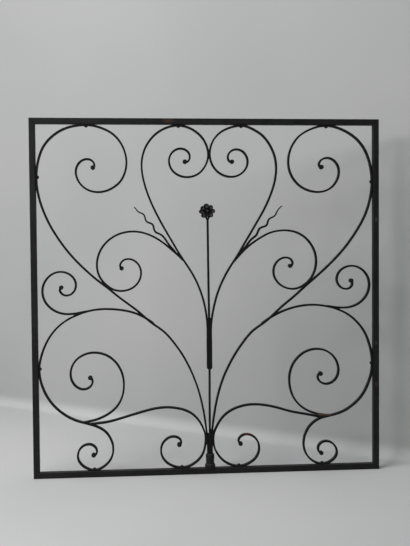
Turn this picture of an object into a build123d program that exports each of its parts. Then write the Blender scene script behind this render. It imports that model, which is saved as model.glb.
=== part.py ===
from build123d import *
import math
import os

# Wrought iron grille: a welded square frame of square bar filled with scrolls of flat bar on
# edge, a centre stem that carries a rosette, two wavy tendrils and a moulded ferrule.
# Millimetres. X to the right, Z up, the front of the grille faces -Y.
# Origin: middle of the underside of the bottom bar, at half the frame's depth.
#
# Every scroll is drawn by its own centreline in the plane of the grille, from its snub end
# to its weld or foot, because the forged pairs are not exact mirror images of each other.

# ---- driving dimensions --------------------------------------------------------------
FRAME_W = 1052.0        # overall width
FRAME_H = 1073.0        # overall height
FRAME_BAR = 18.0        # square bar of the frame
BAR_T = 5.5             # thickness of the flat scroll bar, seen from the front
BAR_D = 14.0            # depth of the flat scroll bar, front to back
KNOB_R = 6.2            # radius of the forged snub end of a scroll
TENDRIL_TIP_T = 2.6     # tendril thickness at its drawn-out tip
TENDRIL_TIP_D = 5.0     # tendril depth at its tip

RIVET_R = 3.0           # rivet shank
RIVET_HEAD_R = 5.2      # rivet head radius
RIVET_HEAD_H = 4.3      # rivet head height over the bar
RIVET_SINK_R = 4.6      # countersunk tail radius in the outer face of the frame
RIVET_SINK_H = 2.2      # depth of that countersink

STEM_TOP = 770.0        # top of the centre stem, under the flower
FERRULE_X = 3.2         # middle of the foot ferrule
FERRULE = [             # outline of the ferrule: radius, height
    (15.2, 18.0), (15.9, 20.8), (16.0, 26.4), (15.2, 29.0), (13.3, 30.6), (12.8, 32.4),
    (12.4, 37.0), (12.5, 42.0), (12.9, 47.2), (13.2, 50.6), (13.2, 56.4), (12.4, 59.6),
    (11.5, 61.0),
]

FLOWER_X, FLOWER_Z = -0.4, 797.3
PETALS = [              # angle, distance from the flower's centre, radius of the cupped petal
    (98, 14.0, 8.2), (42, 15.0, 7.4), (-4, 16.8, 7.6), (-49, 16.4, 8.0), (-90, 12.4, 6.8),
    (-127, 17.4, 8.2), (188, 16.6, 7.8), (152, 14.4, 7.6),
]
BOSS_SHIFT = 1.1        # the boss sits a little to the right of the petals' centre
BOSS_R = 5.8            # round boss in the middle of the rosette

# ---- centrelines, (x, z) in the plane of the grille ------------------------------------
STEM = [
    (3.0, 18.0), (3.0, 60.0), (3.0, 100.0), (3.2, 210.0), (3.7, 320.0), (3.8, 380.0),
    (3.7, 440.0), (2.9, 530.0), (1.9, 650.0), (1.4, 735.0), (1.2, 770.0),
]
LONG_LEFT = [
    (-340.1, 926.7), (-335.5, 932.0), (-335.5, 937.0), (-337.4, 941.7), (-341.3, 946.3), (-347.1, 950.0),
    (-354.4, 951.8), (-362.8, 951.2), (-372.1, 947.3), (-380.9, 939.7), (-387.1, 929.4), (-390.0, 916.2),
    (-388.4, 900.6), (-380.7, 883.6), (-366.8, 868.2), (-349.5, 858.4), (-327.8, 854.2), (-303.0, 857.3),
    (-276.4, 870.2), (-257.8, 887.5), (-246.4, 909.0), (-240.2, 939.7), (-243.9, 970.0), (-259.0, 1003.6),
    (-280.3, 1026.7), (-310.3, 1043.0), (-347.8, 1052.4), (-388.0, 1050.7), (-425.0, 1040.2), (-459.1, 1018.1),
    (-482.7, 991.3), (-498.0, 954.7), (-505.4, 913.5), (-504.7, 871.6), (-497.2, 830.5), (-483.8, 790.9),
    (-466.2, 753.0), (-444.7, 717.0), (-420.5, 682.8), (-393.4, 650.8), (-363.8, 621.2), (-332.5, 593.2),
    (-299.5, 567.3), (-267.3, 540.5), (-233.9, 515.2), (-201.2, 489.1), (-169.9, 461.3), (-135.9, 436.7),
    (-107.7, 405.8), (-83.2, 371.8), (-62.4, 335.3), (-45.2, 297.1), (-31.3, 257.6), (-20.9, 217.2),
    (-14.3, 184.4), (-11.0, 162.5), (-8.7, 145.0), (-7.3, 134.0), (-5.9, 122.5), (-4.5, 110.0),
    (-3.3, 96.0), (-2.8, 80.0), (-2.8, 60.0),
]
LONG_RIGHT = [
    (349.5, 928.4), (342.6, 933.1), (342.2, 938.1), (343.6, 942.9), (347.2, 948.1), (353.4, 952.7),
    (361.9, 955.6), (371.6, 955.7), (381.4, 952.6), (390.6, 945.9), (398.4, 935.1), (402.8, 921.2),
    (402.5, 905.4), (395.7, 886.0), (383.7, 870.0), (368.2, 859.4), (347.5, 853.5), (321.4, 854.8),
    (291.8, 865.6), (271.4, 882.0), (255.4, 906.5), (247.9, 935.9), (249.7, 964.9), (262.6, 998.2),
    (282.2, 1022.4), (311.8, 1040.7), (349.4, 1052.4), (380.4, 1052.1), (417.2, 1040.3), (452.7, 1018.4),
    (479.8, 987.4), (496.4, 949.4), (504.7, 908.3), (505.4, 866.4), (498.4, 825.1), (485.4, 785.4),
    (466.3, 748.3), (443.3, 713.1), (417.9, 679.8), (389.5, 648.9), (359.3, 619.8), (327.8, 592.0),
    (295.9, 564.8), (264.5, 537.0), (231.9, 510.6), (202.4, 484.1), (171.0, 457.3), (136.9, 433.2),
    (109.0, 401.9), (84.8, 367.6), (64.0, 331.2), (46.2, 293.3), (32.5, 253.7), (22.7, 212.8),
    (15.5, 172.2), (13.3, 157.0), (12.0, 146.0), (10.9, 136.0), (9.9, 124.0), (9.1, 110.0),
    (8.7, 92.0), (8.7, 76.0), (8.7, 60.0),
]
HEART_LEFT = [
    (-65.7, 944.4), (-57.9, 944.5), (-54.3, 947.8), (-51.9, 952.4), (-50.9, 958.4), (-51.8, 965.2),
    (-55.0, 971.8), (-60.6, 977.6), (-68.5, 981.8), (-78.1, 983.5), (-88.0, 982.1), (-97.5, 977.4),
    (-105.7, 969.5), (-111.2, 959.0), (-113.3, 946.8), (-111.3, 933.3), (-104.9, 920.4), (-94.2, 909.5),
    (-78.9, 901.6), (-59.8, 898.4), (-40.8, 901.2), (-24.2, 909.5), (-10.1, 923.7), (1.1, 945.4),
    (4.6, 966.4), (1.0, 988.5), (-12.1, 1014.5), (-32.9, 1034.6), (-60.1, 1048.3), (-84.0, 1052.4),
    (-113.1, 1048.0), (-142.3, 1034.3), (-170.0, 1008.4), (-188.5, 974.0), (-195.2, 935.7), (-191.1, 894.7),
    (-180.1, 854.8), (-165.1, 816.3), (-147.2, 778.9), (-127.5, 742.6), (-106.9, 706.7), (-86.2, 670.9),
    (-63.6, 636.2), (-42.1, 600.9), (-24.9, 563.3), (-12.5, 523.9), (-4.8, 483.3), (-1.6, 442.1),
    (-1.6, 400.8), (-1.6, 359.4), (-1.6, 318.0),
]
HEART_RIGHT = [
    (76.2, 944.4), (66.9, 947.5), (64.6, 951.8), (63.7, 957.2), (64.7, 963.7), (68.0, 970.4),
    (73.6, 976.2), (81.0, 980.1), (89.7, 981.5), (99.0, 980.1), (108.1, 975.5), (116.1, 967.5),
    (121.6, 956.7), (123.6, 944.5), (121.5, 931.9), (115.1, 919.5), (104.4, 908.9), (90.1, 901.7),
    (72.4, 899.2), (53.7, 902.4), (36.5, 911.4), (22.1, 926.3), (12.1, 946.7), (9.2, 968.1),
    (13.6, 993.8), (25.3, 1015.9), (44.8, 1034.2), (72.5, 1047.1), (98.6, 1052.4), (118.2, 1051.0),
    (140.1, 1042.3), (166.1, 1026.0), (188.6, 999.4), (205.5, 962.5), (210.5, 921.9), (204.8, 880.9),
    (191.8, 841.5), (174.5, 803.9), (154.1, 767.7), (132.9, 732.0), (111.5, 696.5), (90.3, 660.9),
    (67.5, 626.2), (47.2, 590.0), (30.9, 551.9), (19.5, 512.1), (11.9, 473.2), (8.9, 441.1),
    (9.0, 401.0), (9.0, 359.5), (9.0, 318.0),
]
SCROLL_S_LEFT = [
    (-347.8, 65.4), (-339.3, 70.3), (-337.9, 75.0), (-338.1, 80.3), (-340.2, 86.4), (-344.6, 92.0),
    (-350.9, 96.3), (-358.9, 98.6), (-367.8, 98.3), (-376.9, 94.9), (-385.1, 88.5), (-391.4, 79.1),
    (-394.5, 68.0), (-394.1, 56.5), (-389.8, 45.5), (-379.9, 34.3), (-363.9, 24.3), (-350.0, 20.2),
    (-338.1, 20.8), (-324.8, 26.0), (-308.6, 37.6), (-295.9, 53.5), (-289.7, 72.5), (-289.7, 92.9),
    (-297.5, 116.1), (-310.7, 134.8), (-329.7, 148.3), (-360.5, 160.0), (-399.9, 172.2), (-436.0, 192.5),
    (-466.4, 220.6), (-488.6, 255.0), (-502.1, 293.9), (-505.4, 333.6), (-498.0, 369.6), (-482.7, 407.8),
    (-459.6, 441.8), (-428.6, 469.2), (-391.7, 488.2), (-352.2, 500.7), (-311.0, 505.0), (-269.7, 502.6),
    (-229.0, 494.6), (-191.0, 478.1), (-158.2, 453.9),
]
SCROLL_S_RIGHT = [
    (346.1, 53.1), (340.0, 56.3), (337.4, 60.5), (336.0, 65.9), (336.4, 71.9), (338.8, 77.9),
    (343.2, 83.2), (349.7, 87.3), (357.9, 89.4), (367.3, 88.8), (377.0, 85.0), (385.9, 77.6),
    (392.0, 68.0), (394.6, 58.4), (394.0, 49.5), (390.3, 40.9), (382.1, 31.8), (370.0, 24.4),
    (354.1, 20.2), (340.4, 20.6), (326.1, 25.9), (310.0, 37.7), (297.8, 54.6), (291.7, 75.2),
    (292.6, 99.3), (301.3, 124.2), (316.5, 144.0), (337.9, 158.6), (368.1, 167.5), (407.4, 177.8),
    (443.0, 198.5), (472.4, 227.2), (492.1, 263.1), (504.0, 302.4), (505.4, 343.6), (497.7, 384.1),
    (482.7, 422.2), (458.5, 455.3), (426.6, 481.2), (389.0, 498.0), (348.9, 507.4), (307.7, 509.4),
    (266.9, 503.6), (227.6, 491.1), (190.7, 472.8), (157.1, 449.1),
]
SIDE_LEFT = [
    (-258.0, 626.3), (-261.8, 631.0), (-262.3, 635.9), (-260.9, 640.8), (-257.4, 646.1), (-251.8, 650.7),
    (-244.0, 653.6), (-234.4, 654.0), (-223.8, 651.0), (-213.6, 644.2), (-205.6, 634.0), (-200.9, 621.0),
    (-200.5, 606.2), (-205.2, 590.7), (-215.0, 576.4), (-229.0, 565.9), (-247.5, 559.7), (-269.5, 559.4),
    (-286.7, 564.7), (-303.8, 576.9), (-320.5, 596.4), (-328.9, 616.6), (-330.9, 643.9), (-324.1, 672.2),
    (-306.7, 700.0), (-282.6, 720.2), (-248.9, 733.6), (-212.2, 735.8), (-173.1, 725.6), (-137.0, 704.9),
    (-105.8, 679.2), (-83.6, 658.9), (-68.7, 642.9),
]
SIDE_RIGHT = [
    (251.9, 629.1), (258.8, 634.8), (259.1, 639.6), (257.5, 644.2), (254.4, 648.5), (249.3, 652.0),
    (242.2, 654.3), (233.3, 654.3), (223.3, 651.0), (213.7, 644.1), (205.9, 633.6), (201.4, 620.3),
    (201.2, 605.9), (205.6, 591.6), (215.4, 577.7), (230.2, 566.5), (248.5, 560.0), (266.2, 559.5),
    (284.5, 564.9), (305.3, 579.3), (321.4, 599.6), (330.0, 623.7), (331.5, 654.1), (324.5, 679.7),
    (307.4, 706.1), (285.1, 724.3), (257.9, 734.8), (222.9, 736.7), (187.5, 728.8), (162.2, 715.7),
    (131.5, 695.1), (101.2, 667.6), (74.9, 636.4),
]
SMALL_LEFT = [
    (-437.5, 570.9), (-441.8, 562.3), (-440.1, 557.6), (-436.5, 552.9), (-431.3, 549.1), (-424.8, 547.1),
    (-417.7, 547.3), (-410.2, 549.9), (-403.0, 555.4), (-397.4, 563.5), (-394.4, 573.2), (-394.7, 583.9),
    (-398.5, 594.8), (-406.2, 604.8), (-418.0, 612.8), (-432.8, 617.2), (-447.9, 616.7), (-462.8, 611.4),
    (-477.0, 600.3), (-487.3, 585.0), (-492.5, 566.8), (-491.8, 547.1), (-485.1, 528.7), (-471.7, 512.0),
    (-451.6, 498.6), (-427.8, 492.0), (-394.9, 493.2), (-354.4, 500.7),
]
SMALL_RIGHT = [
    (440.5, 582.3), (443.7, 576.3), (443.7, 571.4), (442.1, 566.7), (438.7, 562.4), (433.7, 559.0),
    (427.2, 557.2), (419.7, 557.4), (411.7, 560.3), (404.2, 566.2), (398.7, 574.2), (396.0, 583.5),
    (396.4, 593.9), (400.4, 604.7), (408.2, 614.6), (420.2, 622.6), (435.9, 627.1), (451.7, 626.5),
    (466.8, 620.9), (481.5, 609.2), (491.7, 594.1), (496.5, 576.7), (495.6, 556.9), (488.4, 537.8),
    (474.7, 520.7), (453.8, 507.0), (429.5, 500.4), (395.5, 501.1), (354.6, 507.1),
]
INNER_LEFT = [
    (-355.2, 299.1), (-350.6, 295.5), (-348.7, 291.1), (-348.4, 286.1), (-350.0, 280.2), (-353.9, 274.2),
    (-360.0, 269.1), (-368.0, 265.9), (-377.4, 265.2), (-387.1, 267.7), (-396.9, 273.8), (-405.9, 284.4),
    (-411.8, 298.4), (-413.1, 314.7), (-408.7, 333.5), (-399.1, 349.9), (-384.1, 362.9), (-362.2, 372.4),
    (-339.1, 374.6), (-312.3, 368.9), (-291.1, 356.6), (-271.4, 334.6), (-259.3, 307.9), (-255.1, 272.7),
    (-260.9, 239.7), (-274.7, 213.5), (-292.9, 195.8), (-319.8, 180.0), (-343.3, 171.5), (-360.6, 167.6),
    (-373.1, 165.8), (-382.9, 166.8),
]
INNER_RIGHT = [
    (344.6, 298.0), (337.9, 294.7), (336.2, 290.1), (336.3, 285.1), (338.3, 279.5), (342.6, 273.9),
    (349.3, 269.3), (358.1, 266.6), (368.2, 266.9), (378.8, 270.7), (388.7, 278.3), (396.0, 289.1),
    (399.9, 302.8), (399.1, 320.8), (391.7, 340.9), (379.4, 356.4), (361.4, 368.3), (341.3, 373.8),
    (316.2, 372.5), (292.6, 363.6), (272.2, 346.9), (256.0, 322.1), (248.1, 291.8), (250.4, 255.5),
    (262.1, 224.3), (279.5, 202.8), (309.5, 182.9), (340.5, 173.2), (363.3, 169.8), (380.4, 170.3),
]
BASE_LEFT = [
    (-89.9, 90.4), (-84.2, 97.9), (-85.1, 102.7), (-87.9, 107.2), (-92.8, 111.5), (-100.0, 114.6),
    (-109.2, 115.5), (-119.8, 113.2), (-130.4, 107.0), (-138.8, 97.6), (-144.0, 85.7), (-145.4, 71.7),
    (-141.9, 56.3), (-133.3, 42.2), (-119.4, 31.0), (-99.0, 22.3), (-78.9, 20.2), (-60.3, 24.3),
    (-40.2, 35.8), (-22.9, 53.6), (-13.1, 77.4), (-10.3, 97.0), (-9.9, 108.0), (-10.9, 118.5),
    (-13.8, 130.0), (-21.5, 148.5), (-37.6, 172.0), (-57.3, 188.3), (-85.1, 199.2), (-124.5, 204.9),
    (-165.6, 201.6), (-205.7, 191.8), (-245.4, 180.7), (-284.3, 169.7), (-314.3, 163.8), (-336.0, 161.5),
    (-351.3, 160.2), (-362.8, 161.1),
]
BASE_RIGHT = [
    (96.7, 88.6), (91.1, 94.6), (90.7, 99.5), (92.1, 104.2), (95.4, 109.1), (100.9, 113.5),
    (108.7, 116.4), (118.3, 116.9), (129.0, 114.1), (139.4, 107.3), (147.6, 97.4), (152.4, 85.1),
    (153.3, 70.2), (149.3, 54.7), (140.6, 41.4), (125.0, 29.5), (105.6, 21.7), (86.1, 20.2),
    (65.5, 25.3), (45.6, 36.8), (28.0, 56.5), (16.4, 81.1), (14.0, 97.0), (13.7, 108.0),
    (15.3, 121.0), (24.6, 144.4), (43.0, 172.0), (65.9, 190.3), (98.4, 203.2), (135.8, 208.2),
    (172.7, 204.9), (212.6, 195.8), (251.8, 184.0), (288.1, 176.6), (314.2, 171.4), (332.7, 167.4),
    (346.0, 165.0), (356.4, 165.6),
]
TENDRIL_LEFT = [
    (-219.3, 809.6), (-215.0, 805.5), (-210.1, 799.0), (-204.8, 794.4), (-197.7, 791.2), (-192.6, 788.5),
    (-189.5, 785.5), (-187.6, 781.5), (-186.3, 775.5), (-184.6, 770.0), (-182.3, 766.5), (-179.0, 763.9),
    (-173.6, 761.9), (-168.1, 759.6), (-164.6, 757.1), (-162.5, 754.0), (-161.1, 749.1), (-159.8, 742.5),
    (-157.8, 737.6), (-154.9, 734.2), (-149.9, 731.2), (-142.4, 727.8), (-134.3, 722.0), (-126.6, 712.4),
    (-119.1, 701.0), (-110.8, 690.1), (-101.6, 679.9), (-92.2, 669.9),
]
TENDRIL_RIGHT = [
    (228.5, 811.4), (218.4, 802.4), (212.2, 793.1), (208.4, 785.3), (204.5, 780.5), (199.1, 777.3),
    (192.5, 774.4), (188.3, 771.3), (185.7, 767.4), (183.9, 761.3), (182.1, 755.9), (179.6, 752.5),
    (175.9, 750.0), (170.1, 748.1), (163.5, 746.0), (159.3, 743.1), (156.0, 738.6), (153.1, 731.5),
    (148.9, 723.5), (142.3, 717.3), (132.5, 709.6), (123.8, 698.8), (115.6, 687.7), (106.5, 677.2),
    (98.0, 666.3),
]

# rivets: position along the bar, for each side of the frame
RIVETS_TOP = [-358.7, -84.7, 104.2, 364.1]
RIVETS_BOTTOM = [-345.7, -82.5, 91.2, 348.2]
RIVETS_LEFT = [898.7, 328.2]
RIVETS_RIGHT = [884.0, 328.0]


# ---- helpers -------------------------------------------------------------------------
def bend(a, m, b):
    """Arc from a to b through m, or a straight line where there is no bend to speak of."""
    chord = b - a
    rise = abs(chord.X * (m.Y - a.Y) - chord.Y * (m.X - a.X)) / chord.length
    if rise < 0.004:
        return Line(a, b)
    return ThreePointArc(a, m, b)


def ribbon(points, width, width_first=None):
    """Flat strip of the given width along a smooth centreline, drawn in the plane (x, z).
    Both sides are chains of arcs, as a smith's scroll is bent a little at a time."""
    line = Spline([(x, z) for x, z in points])
    run = [0.0]
    for a, b in zip(points, points[1:]):
        run.append(run[-1] + math.dist(a, b))
    marks = []
    for a, b in zip(run, run[1:]):
        marks += [a, (a + b) / 2]
    marks = [m / run[-1] for m in marks] + [1.0]
    left, right = [], []
    for m in marks:
        p = line.position_at(m)
        t = line.tangent_at(m)
        n = Vector(-t.Y, t.X)
        w = width
        if width_first is not None:
            w = width_first + (width - width_first) * min(1.0, m * 1.7)
        left.append(p + n * (w / 2))
        right.append(p - n * (w / 2))
    edges = []
    for chain in (left, right):
        for i in range(0, len(chain) - 2, 2):
            edges.append(bend(chain[i], chain[i + 1], chain[i + 2]))
    edges += [Line(left[0], right[0]), Line(left[-1], right[-1])]
    return Sketch() + make_face(edges)


def biggest(shape):
    """The largest face of a cut strip, without the crumbs that a cut leaves."""
    faces = sorted(shape.faces(), key=lambda f: f.area)
    return Sketch() + faces[-1]


def scroll(points, width=BAR_T, width_first=None, knob=True):
    strip = ribbon(points, width, width_first)
    if knob:
        strip = strip + Pos(*points[0]) * Circle(KNOB_R)
    return strip


def cut(strip, *others):
    for other in others:
        strip = biggest(strip - other)
    return strip


def upright(sketch, depth):
    """Stand a sketch of the plane (x, z) up and give it a depth, half of it each way."""
    return Pos(0, depth / 2, 0) * (Rot(90, 0, 0) * extrude(sketch, amount=depth))


def as_solid(shape):
    solids = sorted(shape.solids(), key=lambda s: s.volume)
    return solids[-1]


# ---- outlines of the bars ----------------------------------------------------------------
opening = Pos(0, FRAME_H / 2) * Rectangle(FRAME_W - 2 * FRAME_BAR, FRAME_H - 2 * FRAME_BAR)

outline = {}
outline["centre_stem"] = biggest(ribbon(STEM, BAR_T) & opening)
stem = outline["centre_stem"]

for side, table in (("left", LONG_LEFT), ("right", LONG_RIGHT)):
    foot = table[-1][0]
    strip = scroll(table + [(foot, 38.0), (foot, FRAME_BAR)])
    outline["long_stem_" + side] = cut(biggest(strip & opening), stem)

outline["heart_scroll_left"] = cut(biggest(scroll(HEART_LEFT) & opening), stem)
outline["heart_scroll_right"] = cut(
    biggest(scroll(HEART_RIGHT) & opening), stem, outline["heart_scroll_left"])

tables = {
    "left": (SIDE_LEFT, SMALL_LEFT, SCROLL_S_LEFT, INNER_LEFT, BASE_LEFT, TENDRIL_LEFT),
    "right": (SIDE_RIGHT, SMALL_RIGHT, SCROLL_S_RIGHT, INNER_RIGHT, BASE_RIGHT, TENDRIL_RIGHT),
}
for side, (side_t, small_t, s_t, inner_t, base_t, tendril_t) in tables.items():
    long_bar = outline["long_stem_" + side]
    heart = outline["heart_scroll_" + side]
    s_bar = cut(biggest(scroll(s_t) & opening), long_bar)
    outline["s_scroll_" + side] = s_bar
    outline["side_scroll_" + side] = cut(scroll(side_t), heart, long_bar)
    outline["small_scroll_" + side] = cut(scroll(small_t), s_bar)
    volute = cut(scroll(inner_t), s_bar)
    outline["inner_volute_" + side] = volute
    outline["base_scroll_" + side] = cut(
        biggest(scroll(base_t) & opening), s_bar, volute, long_bar)
    outline["tendril_" + side] = cut(
        scroll(tendril_t, BAR_T, TENDRIL_TIP_T, knob=False),
        heart, outline["side_scroll_" + side])

parts = {}
for name, sketch in outline.items():
    parts[name] = as_solid(upright(sketch, BAR_D))

# the tendrils are drawn out thinner front to back as well
for side, table in (("left", TENDRIL_LEFT), ("right", TENDRIL_RIGHT)):
    tip, root = Vector(*table[0]), Vector(*table[-1])
    run = (root - tip).length
    along = (root - tip).normalized()
    a, b = TENDRIL_TIP_D / 2, BAR_D / 2
    wedge2d = Polyline((-12, -a), (0, -a), (run * 0.8, -b), (run + 60, -b),
                       (run + 60, b), (run * 0.8, b), (0, a), (-12, a), close=True)
    wedge = extrude(make_face(wedge2d.edges()), amount=60, both=True)
    frame_of_wedge = Plane(origin=(tip.X, 0, tip.Y), x_dir=(along.X, 0, along.Y),
                           z_dir=(-along.Y, 0, along.X))
    wedge = frame_of_wedge * wedge
    parts["tendril_" + side] = as_solid(parts["tendril_" + side] & wedge)

# ---- frame: four mitred bars ---------------------------------------------------------------
w, h, f = FRAME_W / 2, FRAME_H, FRAME_BAR
frame_outlines = {
    "frame_top_bar": [(-w, h), (w, h), (w - f, h - f), (-w + f, h - f)],
    "frame_bottom_bar": [(-w, 0), (w, 0), (w - f, f), (-w + f, f)],
    "frame_left_bar": [(-w, 0), (-w, h), (-w + f, h - f), (-w + f, f)],
    "frame_right_bar": [(w, 0), (w, h), (w - f, h - f), (w - f, f)],
}
for name, pts in frame_outlines.items():
    parts[name] = as_solid(upright(make_face(Polyline(*pts, close=True).edges()), FRAME_BAR))


# ---- rivets ------------------------------------------------------------------------------
def rivet(bar):
    """One round-headed rivet along +Z from the scroll into the frame: the scroll's inner
    side is at z = 0, the frame's outer face at z = BAR_T + FRAME_BAR. The head is shaped to
    the curve of the bar that it sits on."""
    top = BAR_T + FRAME_BAR
    dome = Polyline((0, -RIVET_HEAD_H), (1.9, -RIVET_HEAD_H + 0.25), (3.5, -3.2), (4.6, -1.8),
                    (RIVET_HEAD_R, 0.0), (RIVET_HEAD_R, 1.2), (0, 1.2), close=True)
    head = revolve(Plane.XZ * make_face(dome.edges()), Axis.Z)
    tail = Polyline((0, 0), (RIVET_R, 0), (RIVET_R, top - RIVET_SINK_H), (RIVET_SINK_R, top),
                    (0, top), close=True)
    shank = revolve(Plane.XZ * make_face(tail.edges()), Axis.Z)
    return head, shank


groups = {
    "top": [((x, FRAME_H - FRAME_BAR - BAR_T), 0) for x in RIVETS_TOP],
    "bottom": [((x, FRAME_BAR + BAR_T), 180) for x in RIVETS_BOTTOM],
    "left": [((-FRAME_W / 2 + FRAME_BAR + BAR_T, z), -90) for z in RIVETS_LEFT],
    "right": [((FRAME_W / 2 - FRAME_BAR - BAR_T, z), 90) for z in RIVETS_RIGHT],
}
held = {
    "top": ["long_stem_left", "heart_scroll_left", "heart_scroll_right", "long_stem_right"],
    "bottom": ["s_scroll_left", "base_scroll_left", "base_scroll_right", "s_scroll_right"],
    "left": ["long_stem_left", "s_scroll_left"],
    "right": ["long_stem_right", "s_scroll_right"],
}
rivets = {}
for side, places in groups.items():
    rivets[side] = []
    for ((x, z), turn), bar in zip(places, held[side]):
        head, shank = rivet(bar)
        place = Pos(x, 0, z) * Rot(0, turn, 0)
        head, shank = place * head, place * shank
        head = as_solid(head - parts[bar])
        parts[bar] = as_solid(parts[bar] - shank)
        frame_bar = "frame_" + side + "_bar"
        parts[frame_bar] = as_solid(parts[frame_bar] - shank)
        rivets[side].append(as_solid(head + shank))

# ---- foot ferrule: turned outline, let in over the three bars --------------------------------
outline_pts = [(0, FERRULE[0][1])] + FERRULE + [(0, FERRULE[-1][1])]
ferrule = revolve(Plane.XZ * make_face(Polyline(*outline_pts, close=True).edges()), Axis.Z)
ferrule = Pos(FERRULE_X, 0, 0) * ferrule
for name in ("centre_stem", "long_stem_left", "long_stem_right"):
    ferrule = ferrule - parts[name]
parts["stem_ferrule"] = as_solid(ferrule)

# ---- rosette -------------------------------------------------------------------------------
def to_flower(shape):
    return Pos(FLOWER_X, 0, FLOWER_Z) * (Rot(90, 0, 0) * shape)


# drawn flat with the front up: z here is towards the front of the grille
rosette = Pos(0, 0, -3) * Cylinder(11.5, 6, align=(Align.CENTER, Align.CENTER, Align.MIN))
cups = None
for angle, out, radius in PETALS:
    cx, cy = out * math.cos(math.radians(angle)), out * math.sin(math.radians(angle))
    rosette = rosette + Pos(cx, cy, 2.0) * Sphere(radius)
    cup = Pos(cx, cy, 5.2) * Sphere(radius - 2.4)
    cups = cup if cups is None else cups + cup
slab = Pos(0, 0, -3.5) * Cylinder(40, 9.5, align=(Align.CENTER, Align.CENTER, Align.MIN))
rosette = (rosette & slab) - cups
rosette = rosette + (Pos(BOSS_SHIFT, 0, -3) * Cylinder(8.4, 5.2, align=(Align.CENTER, Align.CENTER, Align.MIN)))
rosette = rosette - (Pos(BOSS_SHIFT, 0, 2.2) * Cylinder(6.8, 20, align=(Align.CENTER, Align.CENTER, Align.MIN)))
boss_outline = Polyline((0, -4.6), (3.6, -4.6), (2.5, -3.5), (2.5, 2.2), (BOSS_R, 2.2),
                        (BOSS_R, 3.4), (4.9, 5.4), (3.2, 6.9), (0, 7.6), close=True)
boss = Pos(BOSS_SHIFT, 0, 0) * revolve(Plane.XZ * make_face(boss_outline.edges()), Axis.Z)
rosette = rosette - boss
flower = as_solid(to_flower(rosette))
parts["flower"] = flower
parts["flower_boss"] = as_solid(to_flower(boss))

# neck: two short sepals that spring from the top of the stem to the lower petals
sx = STEM[-1][0]
neck2d = Polyline(
    (sx - BAR_T / 2, STEM_TOP), (sx + BAR_T / 2, STEM_TOP), (sx + 4.9, STEM_TOP + 3.6),
    (sx + 6.9, STEM_TOP + 8.0), (sx + 7.6, STEM_TOP + 12.6), (sx + 3.6, STEM_TOP + 12.6),
    (sx + 2.6, STEM_TOP + 8.6), (sx, STEM_TOP + 4.4),
    (sx - 3.0, STEM_TOP + 8.6), (sx - 4.4, STEM_TOP + 12.6), (sx - 8.4, STEM_TOP + 12.6),
    (sx - 7.4, STEM_TOP + 8.0), (sx - 5.2, STEM_TOP + 3.6),
    close=True)
neck = upright(make_face(neck2d.edges()), 5.0)
parts["flower_neck"] = as_solid(neck - flower - parts["centre_stem"])

# ---- write every node ------------------------------------------------------------------------
os.makedirs("parts", exist_ok=True)
for side, solids in rivets.items():
    group = Compound(children=solids)
    export_step(group, "parts/rivets_" + side + ".step")
for name, shape in parts.items():
    export_step(shape, "parts/" + name + ".step")
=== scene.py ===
import math

import bpy
import numpy as np
from mathutils import Matrix, Vector, noise


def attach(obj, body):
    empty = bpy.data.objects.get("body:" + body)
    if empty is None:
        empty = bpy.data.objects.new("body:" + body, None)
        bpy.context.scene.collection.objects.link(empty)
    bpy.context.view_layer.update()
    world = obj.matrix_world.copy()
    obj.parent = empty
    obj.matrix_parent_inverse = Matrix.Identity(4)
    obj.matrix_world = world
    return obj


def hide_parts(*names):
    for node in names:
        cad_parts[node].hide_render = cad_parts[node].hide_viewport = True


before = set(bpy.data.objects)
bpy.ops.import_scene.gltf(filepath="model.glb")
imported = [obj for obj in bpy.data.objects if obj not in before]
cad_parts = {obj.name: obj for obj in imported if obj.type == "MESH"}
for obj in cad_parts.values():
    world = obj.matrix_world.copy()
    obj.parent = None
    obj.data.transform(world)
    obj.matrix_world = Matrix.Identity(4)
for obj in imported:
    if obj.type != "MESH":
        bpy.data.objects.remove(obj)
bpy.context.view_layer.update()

# Wrought iron grille: every bar is rebuilt here as a forged bar, swept along the same
# centrelines as the metal it stands for, with hammered faces, rounded arrises, snub ends
# and drawn-down welds. Lengths in the tables are millimetres; the meshes are in metres.

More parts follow.
